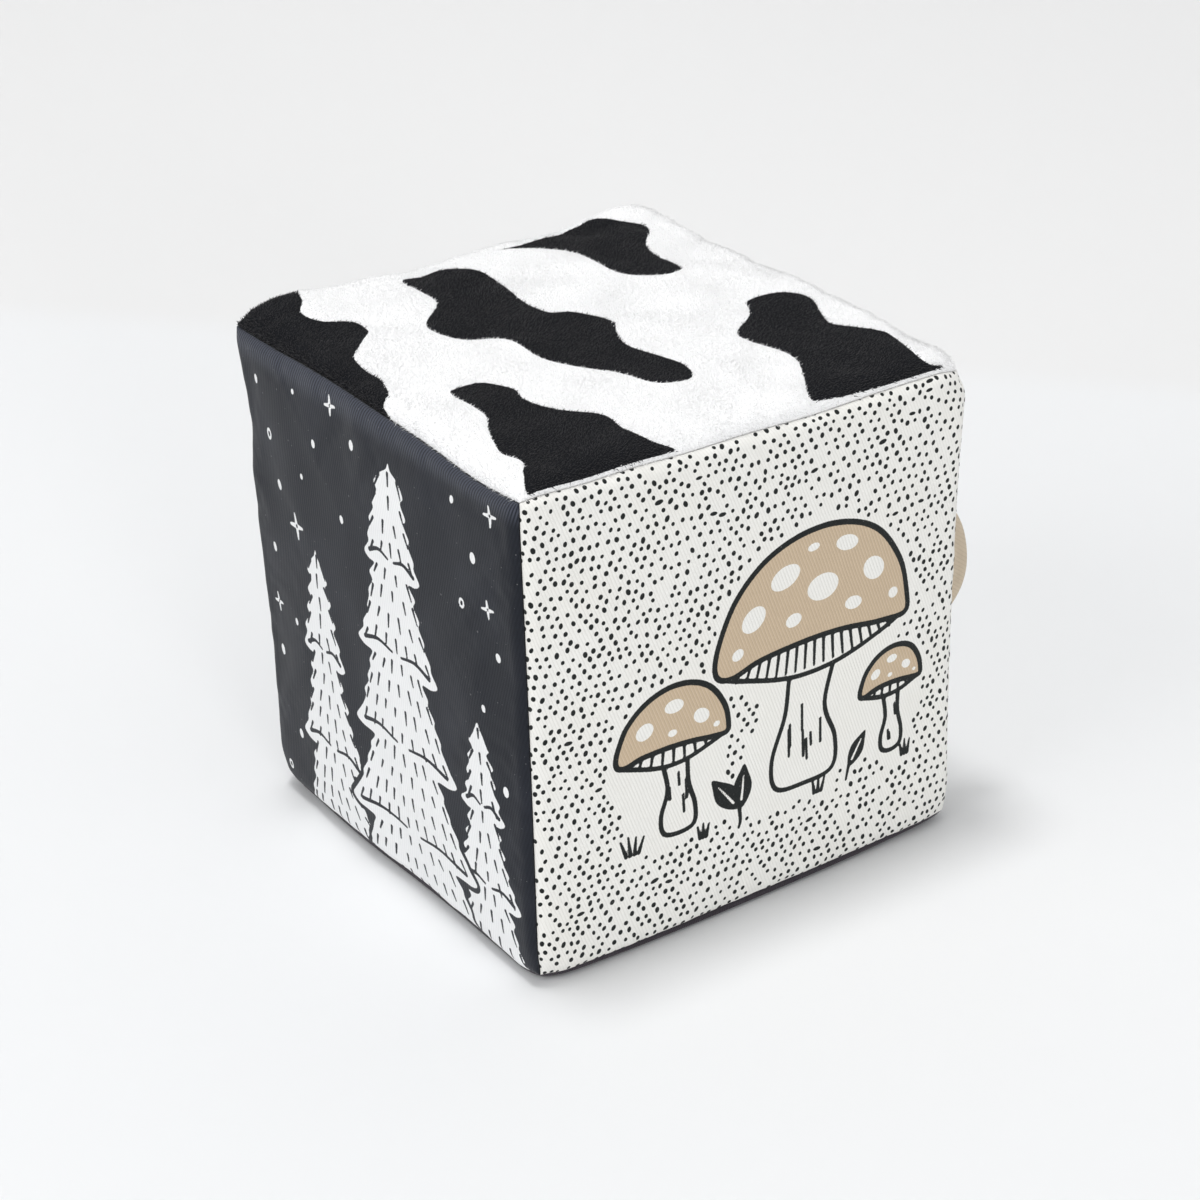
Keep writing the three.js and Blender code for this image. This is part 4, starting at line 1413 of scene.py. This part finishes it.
def black_twill_material(name):
    shader = Shader(name, roughness=0.85, specular=0.18, sheen=0.18, sheen_roughness=0.45)
    place = shader.cloth_place()
    weave, ridge = twill_weave(shader, place, BLACK_WALE_MM, BLACK_SLANT_DEG)
    half_mm = SIDES["left"].places(PLAIN_STEPS)[0][-1] / MM
    _, along, _ = shader.split(place)
    # Painted sheen: along the rolled top edge, where light grazes the cloth, the black is
    # lightened and the rib tops are painted lighter (faintly elsewhere too); the bump is also
    # stronger there. The cloudy mottle is the cloth's own.
    top_rim_sheen = along.fade(half_mm - TOP_RIM_SHEEN_START_MM, half_mm - TOP_RIM_SHEEN_END_MM)
    ribs = ridge.fade(0.5, 1.0) * (top_rim_sheen + 0.05)
    cloudy = shader.noise(place, 0.045, 3.0).fade(0.4, 0.8, 0.0, 0.15)
    base = shader.mix(cloudy + (top_rim_sheen * 0.1 + ribs), BLACK_CLOTH, BLACK_CLOTH_MOTTLE_AND_SHEEN)
    edge = shader.field("white_mm") + ragged_edge(shader, place, WHITE_RAGGED_MM)
    # Painted shade: the white print is darker in the grooves between the ribs
    white = shader.mix(ridge.fade(0.0, 0.8, 0.5, 0.0), WHITE_PRINT, WHITE_PRINT_SHADE)
    color = shader.mix(edge.below(0, WHITE_BLUR_MM), base, white)
    color = shader.mix(shader.noise(place, 1.1, 0.0).fade(0.83, 0.86, 0.0, 0.3), color, LINT)
    return shader.finish(color, shader.bump(weave, TWILL_BUMP_MM, top_rim_sheen * 0.6 + 0.35))


def charcoal_material(name):
    shader = Shader(name, roughness=0.9, specular=0.15, sheen=0.2)
    place = shader.cloth_place()
    yarns = [(way * (2 * math.pi / YARN_PAIR_MM)).by("SINE") for way in shader.split(place)]
    height = yarns[0] * yarns[1] + shader.noise(place, 2.5, 3.0)
    color = shader.mix(shader.noise(place, 0.3, 3.0), CHARCOAL, CHARCOAL_LIGHT)
    return shader.finish(color, shader.bump(height, 0.08, 0.6))


def tan_material(name):
    shader = Shader(name, roughness=0.9, specular=0.15, sheen=0.25)
    place = shader.cloth_place()
    weave, ridge = twill_weave(shader, place, TAB_WALE_MM, TAB_SLANT_DEG)
    color = shader.mix(shader.noise(place, 0.4, 3.0), TAN, TAN_LIGHT)
    # Painted shade: the tan is darker in the grooves between the ribs
    color = shader.mix(ridge.fade(0.0, 0.8, 0.4, 0.0), color, TAN_SHADE)
    return shader.finish(color, shader.bump(weave, 0.09, 0.6))


def plush_ground_material(name):
    shader = Shader(name, roughness=1.0, specular=0.05)
    place = shader.cloth_place()
    edge = shader.field("black_mm") + shader.noise(place, 1.5) * 0.3
    color = shader.mix(edge.below(0.15, 0.1), PLUSH_GROUND, PLUSH_BLACK)
    return shader.finish(color, shader.bump(shader.noise(place, 2.4, 3.0), 0.2, 0.6))


def pile_material(name, color, tip_color, sheen):
    """Tufts that are each a little different and lighter at their tips."""
    shader = Shader(name, roughness=1.0, specular=0.05, sheen=sheen, sheen_roughness=0.7)
    tuft = shader.field("tuft")
    varied = shader.mix(tuft.by("FRACT"), color, tip_color)
    shaded = shader.mix(tuft.fade(0.9, 2.0), varied, tip_color)
    streak = shader.noise(shader.object_place(), 160.0).fade(0.3, 0.8, 0.0, 0.35)
    return shader.finish(shader.mix(streak, shaded, color))


def thread_material(name):
    shader = Shader(name, roughness=0.75, specular=0.25, sheen=0.2, sheen_roughness=0.4)
    twist = shader.node(
        "TexWave", {"bands_direction": "DIAGONAL"}, Vector=shader.object_place(), Scale=420.0
    )["Fac"]
    # Painted shade: the thread is darker in the grooves of its twist
    return shader.finish(shader.mix(twist, THREAD, THREAD_SHADE), shader.bump(twist, 0.15, 0.8))


def foam_material(name):
    shader = Shader(name, roughness=0.98, specular=0.1)
    from_wall = shader.node(
        "TexVoronoi", {"feature": "DISTANCE_TO_EDGE"}, Vector=shader.object_place(), Scale=900.0
    )["Distance"]
    open_cell = Value(shader, from_wall).fade(0.02, 0.16)
    # Painted shade: the foam is darker in the middles of its open pores
    color = shader.mix(open_cell, FOAM, FOAM_SHADE)
    return shader.finish(color, shader.bump(open_cell, -0.3, 0.8))


def plastic_material(name, color, roughness):
    shader = Shader(name, roughness, specular=0.5)
    place = shader.object_place()
    mottle = shader.noise(place, 90.0, 3.0)
    tinted = shader.mix(mottle.fade(0.3, 0.8), color, tuple(0.93 * part for part in color))
    uneven = mottle.fade(0.2, 0.9, roughness - 0.06, roughness + 0.1)
    return shader.finish(tinted, shader.bump(shader.noise(place, 2400.0), 0.02, 0.4), uneven)


# Stage: the floor's and wall's colours, the edge between them as seen, and the floor's lengths
FLOOR_COLOR = (0.815, 0.823, 0.832)
WALL_COLOR = (0.80, 0.80, 0.80)
TABLE_EDGE = 0.283
TABLE_EDGE_BLUR = 0.014
TABLE_EDGE_TURN_DEG = 14.8
FLOOR_STOPS = (-2.0, -0.5, 0.3, 0.9)
BEND_RADIUS, BEND_STEPS = 0.25, 12
WALL_HEIGHT = 3.0
STAGE_HALF_WIDTH = 4.0

# Lights: the place, width and watts of each, and the sky's even light
LIGHTS = {
    "ceiling": ((-0.17, 0.16, 2.2), 0.45, 19.7),
    "window": ((-1.6, 0.0, 1.1), 1.4, 8.5),
    "fill": ((-0.5, -1.9, 0.5), 0.6, 10.0),
}
SKY_COLOR = (0.995, 0.998, 1.0)
SKY_STRENGTH = 0.52


def make_stage():
    """A pale floor that curves up into a wall far behind the block."""
    azimuth = math.radians(CAMERA_AZIMUTH_DEG)
    away = np.array([-math.sin(azimuth), math.cos(azimuth), 0.0])
    aside = np.array([away[1], -away[0], 0.0])
    profile = [(distance, 0.0) for distance in FLOOR_STOPS]
    for angle in np.linspace(0, math.pi / 2, BEND_STEPS + 1)[1:]:
        forwards, upwards = math.sin(angle), 1 - math.cos(angle)
        profile.append((FLOOR_STOPS[-1] + BEND_RADIUS * forwards, BEND_RADIUS * upwards))
    profile.append((FLOOR_STOPS[-1] + BEND_RADIUS, WALL_HEIGHT))
    vertices = [
        away * distance + aside * half_width + np.array([0, 0, level])
        for distance, level in profile for half_width in (-STAGE_HALF_WIDTH, STAGE_HALF_WIDTH)
    ]
    quads = [(2 * k, 2 * k + 1, 2 * k + 3, 2 * k + 2) for k in range(len(profile) - 1)]
    made = make_mesh("floor_and_wall", vertices, quads)
    shader = Shader("floor_and_wall", roughness=0.85, specular=0.1)
    place = shader.node("NewGeometry")["Position"]
    turn = math.radians(TABLE_EDGE_TURN_DEG)
    over_edge = away * math.cos(turn) + aside * math.sin(turn)
    far = shader.combine("VectorMath", "DOT_PRODUCT", place, tuple(over_edge))["Value"]
    on_table = Value(shader, far).below(TABLE_EDGE, TABLE_EDGE_BLUR)
    made.data.materials.append(shader.finish(shader.mix(on_table, WALL_COLOR, FLOOR_COLOR)))


def make_lights():
    world = bpy.data.worlds.new("studio")
    world.use_nodes = True
    sky = world.node_tree.nodes["Background"]
    sky.inputs["Color"].default_value = (*SKY_COLOR, 1)
    sky.inputs["Strength"].default_value = SKY_STRENGTH
    bpy.context.scene.world = world
    for name, (place, width, watts) in LIGHTS.items():
        data = bpy.data.lights.new(name, "AREA")
        data.shape = "DISK"
        data.size = width
        data.energy = watts
        made = new_object(name, data)
        made.location = place
        made.rotation_mode = "QUATERNION"
        made.rotation_quaternion = (CAMERA_TARGET - Vector(place)).to_track_quat("-Z", "Y")


def make_camera():
    data = bpy.data.cameras.new("photo_camera")
    data.sensor_width = SENSOR_WIDTH_MM
    data.lens = FOCAL_PX * SENSOR_WIDTH_MM / PHOTO_SIZE_PX
    data.clip_start = CAMERA_CLIP_START
    placed = Matrix.Translation(CAMERA_TARGET)
    for axis, turn_deg in (
        ("Z", CAMERA_AZIMUTH_DEG), ("X", 90 - CAMERA_ELEVATION_DEG), ("Z", CAMERA_ROLL_DEG)
    ):
        placed = placed @ Matrix.Rotation(math.radians(turn_deg), 4, axis)
    camera = new_object("photo_camera", data)
    camera.matrix_world = placed @ Matrix.Translation((0, 0, CAMERA_DISTANCE))
    bpy.context.scene.camera = camera


# The block

def finish_piece(made, material, slot, *nodes, body="block"):
    made.data.materials.clear()
    made.data.materials.append(material)
    if body:
        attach(made, body)
    if nodes:
        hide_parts(*nodes)
    return made


def add_cloth(name, side, material, slot, steps=FINE_STEPS, relief=0.0, fields=None, dots=None):
    """One cloth of the cover in place of its CAD panel."""
    panel = name.removesuffix("_cloth") + "_panel"
    made, points = panel_mesh(name, SIDES[side], steps, relief, fields, dots)
    finish_piece(made, material, slot, panel)
    return points


make_camera()
make_lights()
make_stage()
bpy.context.scene.view_settings.view_transform = "Standard"

foam = foam_material("open_cell_foam")
for node in ("lower_foam_half", "upper_foam_half"):
    half = finish_piece(foam_half(node), foam, "foam", node)

creases = filled_relief()
patches = plush_patches()
top_points = add_cloth(
    "plush_top_cloth", "top", plush_ground_material("plush_ground"), "plush",
    relief=creases["top"] + cloth_relief("top", 40, 0.14, 0.2), fields={"black_mm": patches},
)
white_pile, black_pile = plush_pile(top_points, patches)
finish_piece(white_pile, pile_material("white_pile", PLUSH_WHITE, PLUSH_WHITE_TIP, 0.1), "plush")
finish_piece(black_pile, pile_material("black_pile", PLUSH_BLACK, PLUSH_BLACK_TIP, 0.08), "plush")

motif, dots = front_print()
add_cloth(
    "dotted_front_cloth", "front", dotted_twill_material("dotted_twill_with_motif", True),
    "dotted_twill", relief=creases["front"] + cloth_relief("front", 41),
    fields={"ink_mm": motif.layers["ink"], "tan_mm": motif.layers["tan"]}, dots=dots,
)
add_cloth(
    "dotted_right_cloth", "right", dotted_twill_material("dotted_twill", False), "dotted_twill",
    relief=creases["right"] + cloth_relief("right", 42), dots=dot_field(Print("right", []), 12),
)
night = black_twill_material("black_twill")
for side, marks, seed in (("left", left_print(), 43), ("back", back_print(), 44)):
    add_cloth(
        f"black_{side}_cloth", side, night, "black_twill",
        relief=creases[side] + cloth_relief(side, seed, 0.1, 0.05),
        fields={"white_mm": marks.layers["white"]},
    )
charcoal = charcoal_material("charcoal_cloth")
add_cloth("charcoal_bottom_cloth", "bottom", charcoal, "charcoal_cloth", PLAIN_STEPS)

tab = finish_piece(tab_mesh(), tan_material("tan_cloth"), "tan_cloth", "tan_tab", body=None)
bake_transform(tab)

thread = thread_material("overlock_thread")
white_plastic = plastic_material("white_plastic", RATTLE_WHITE, 0.42)
ball_plastic = plastic_material("ball_plastic", BALL_CREAM, 0.36)
for name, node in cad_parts.items():
    if name.endswith("_seam_thread"):
        finish_piece(node, thread, "thread", body=None)
    elif name in ("rattle_tube", "rattle_cap"):
        finish_piece(node, white_plastic, "rattle_plastic", body=None)
    elif name == "rattle_ball":
        finish_piece(node, ball_plastic, "ball_plastic", body=None)
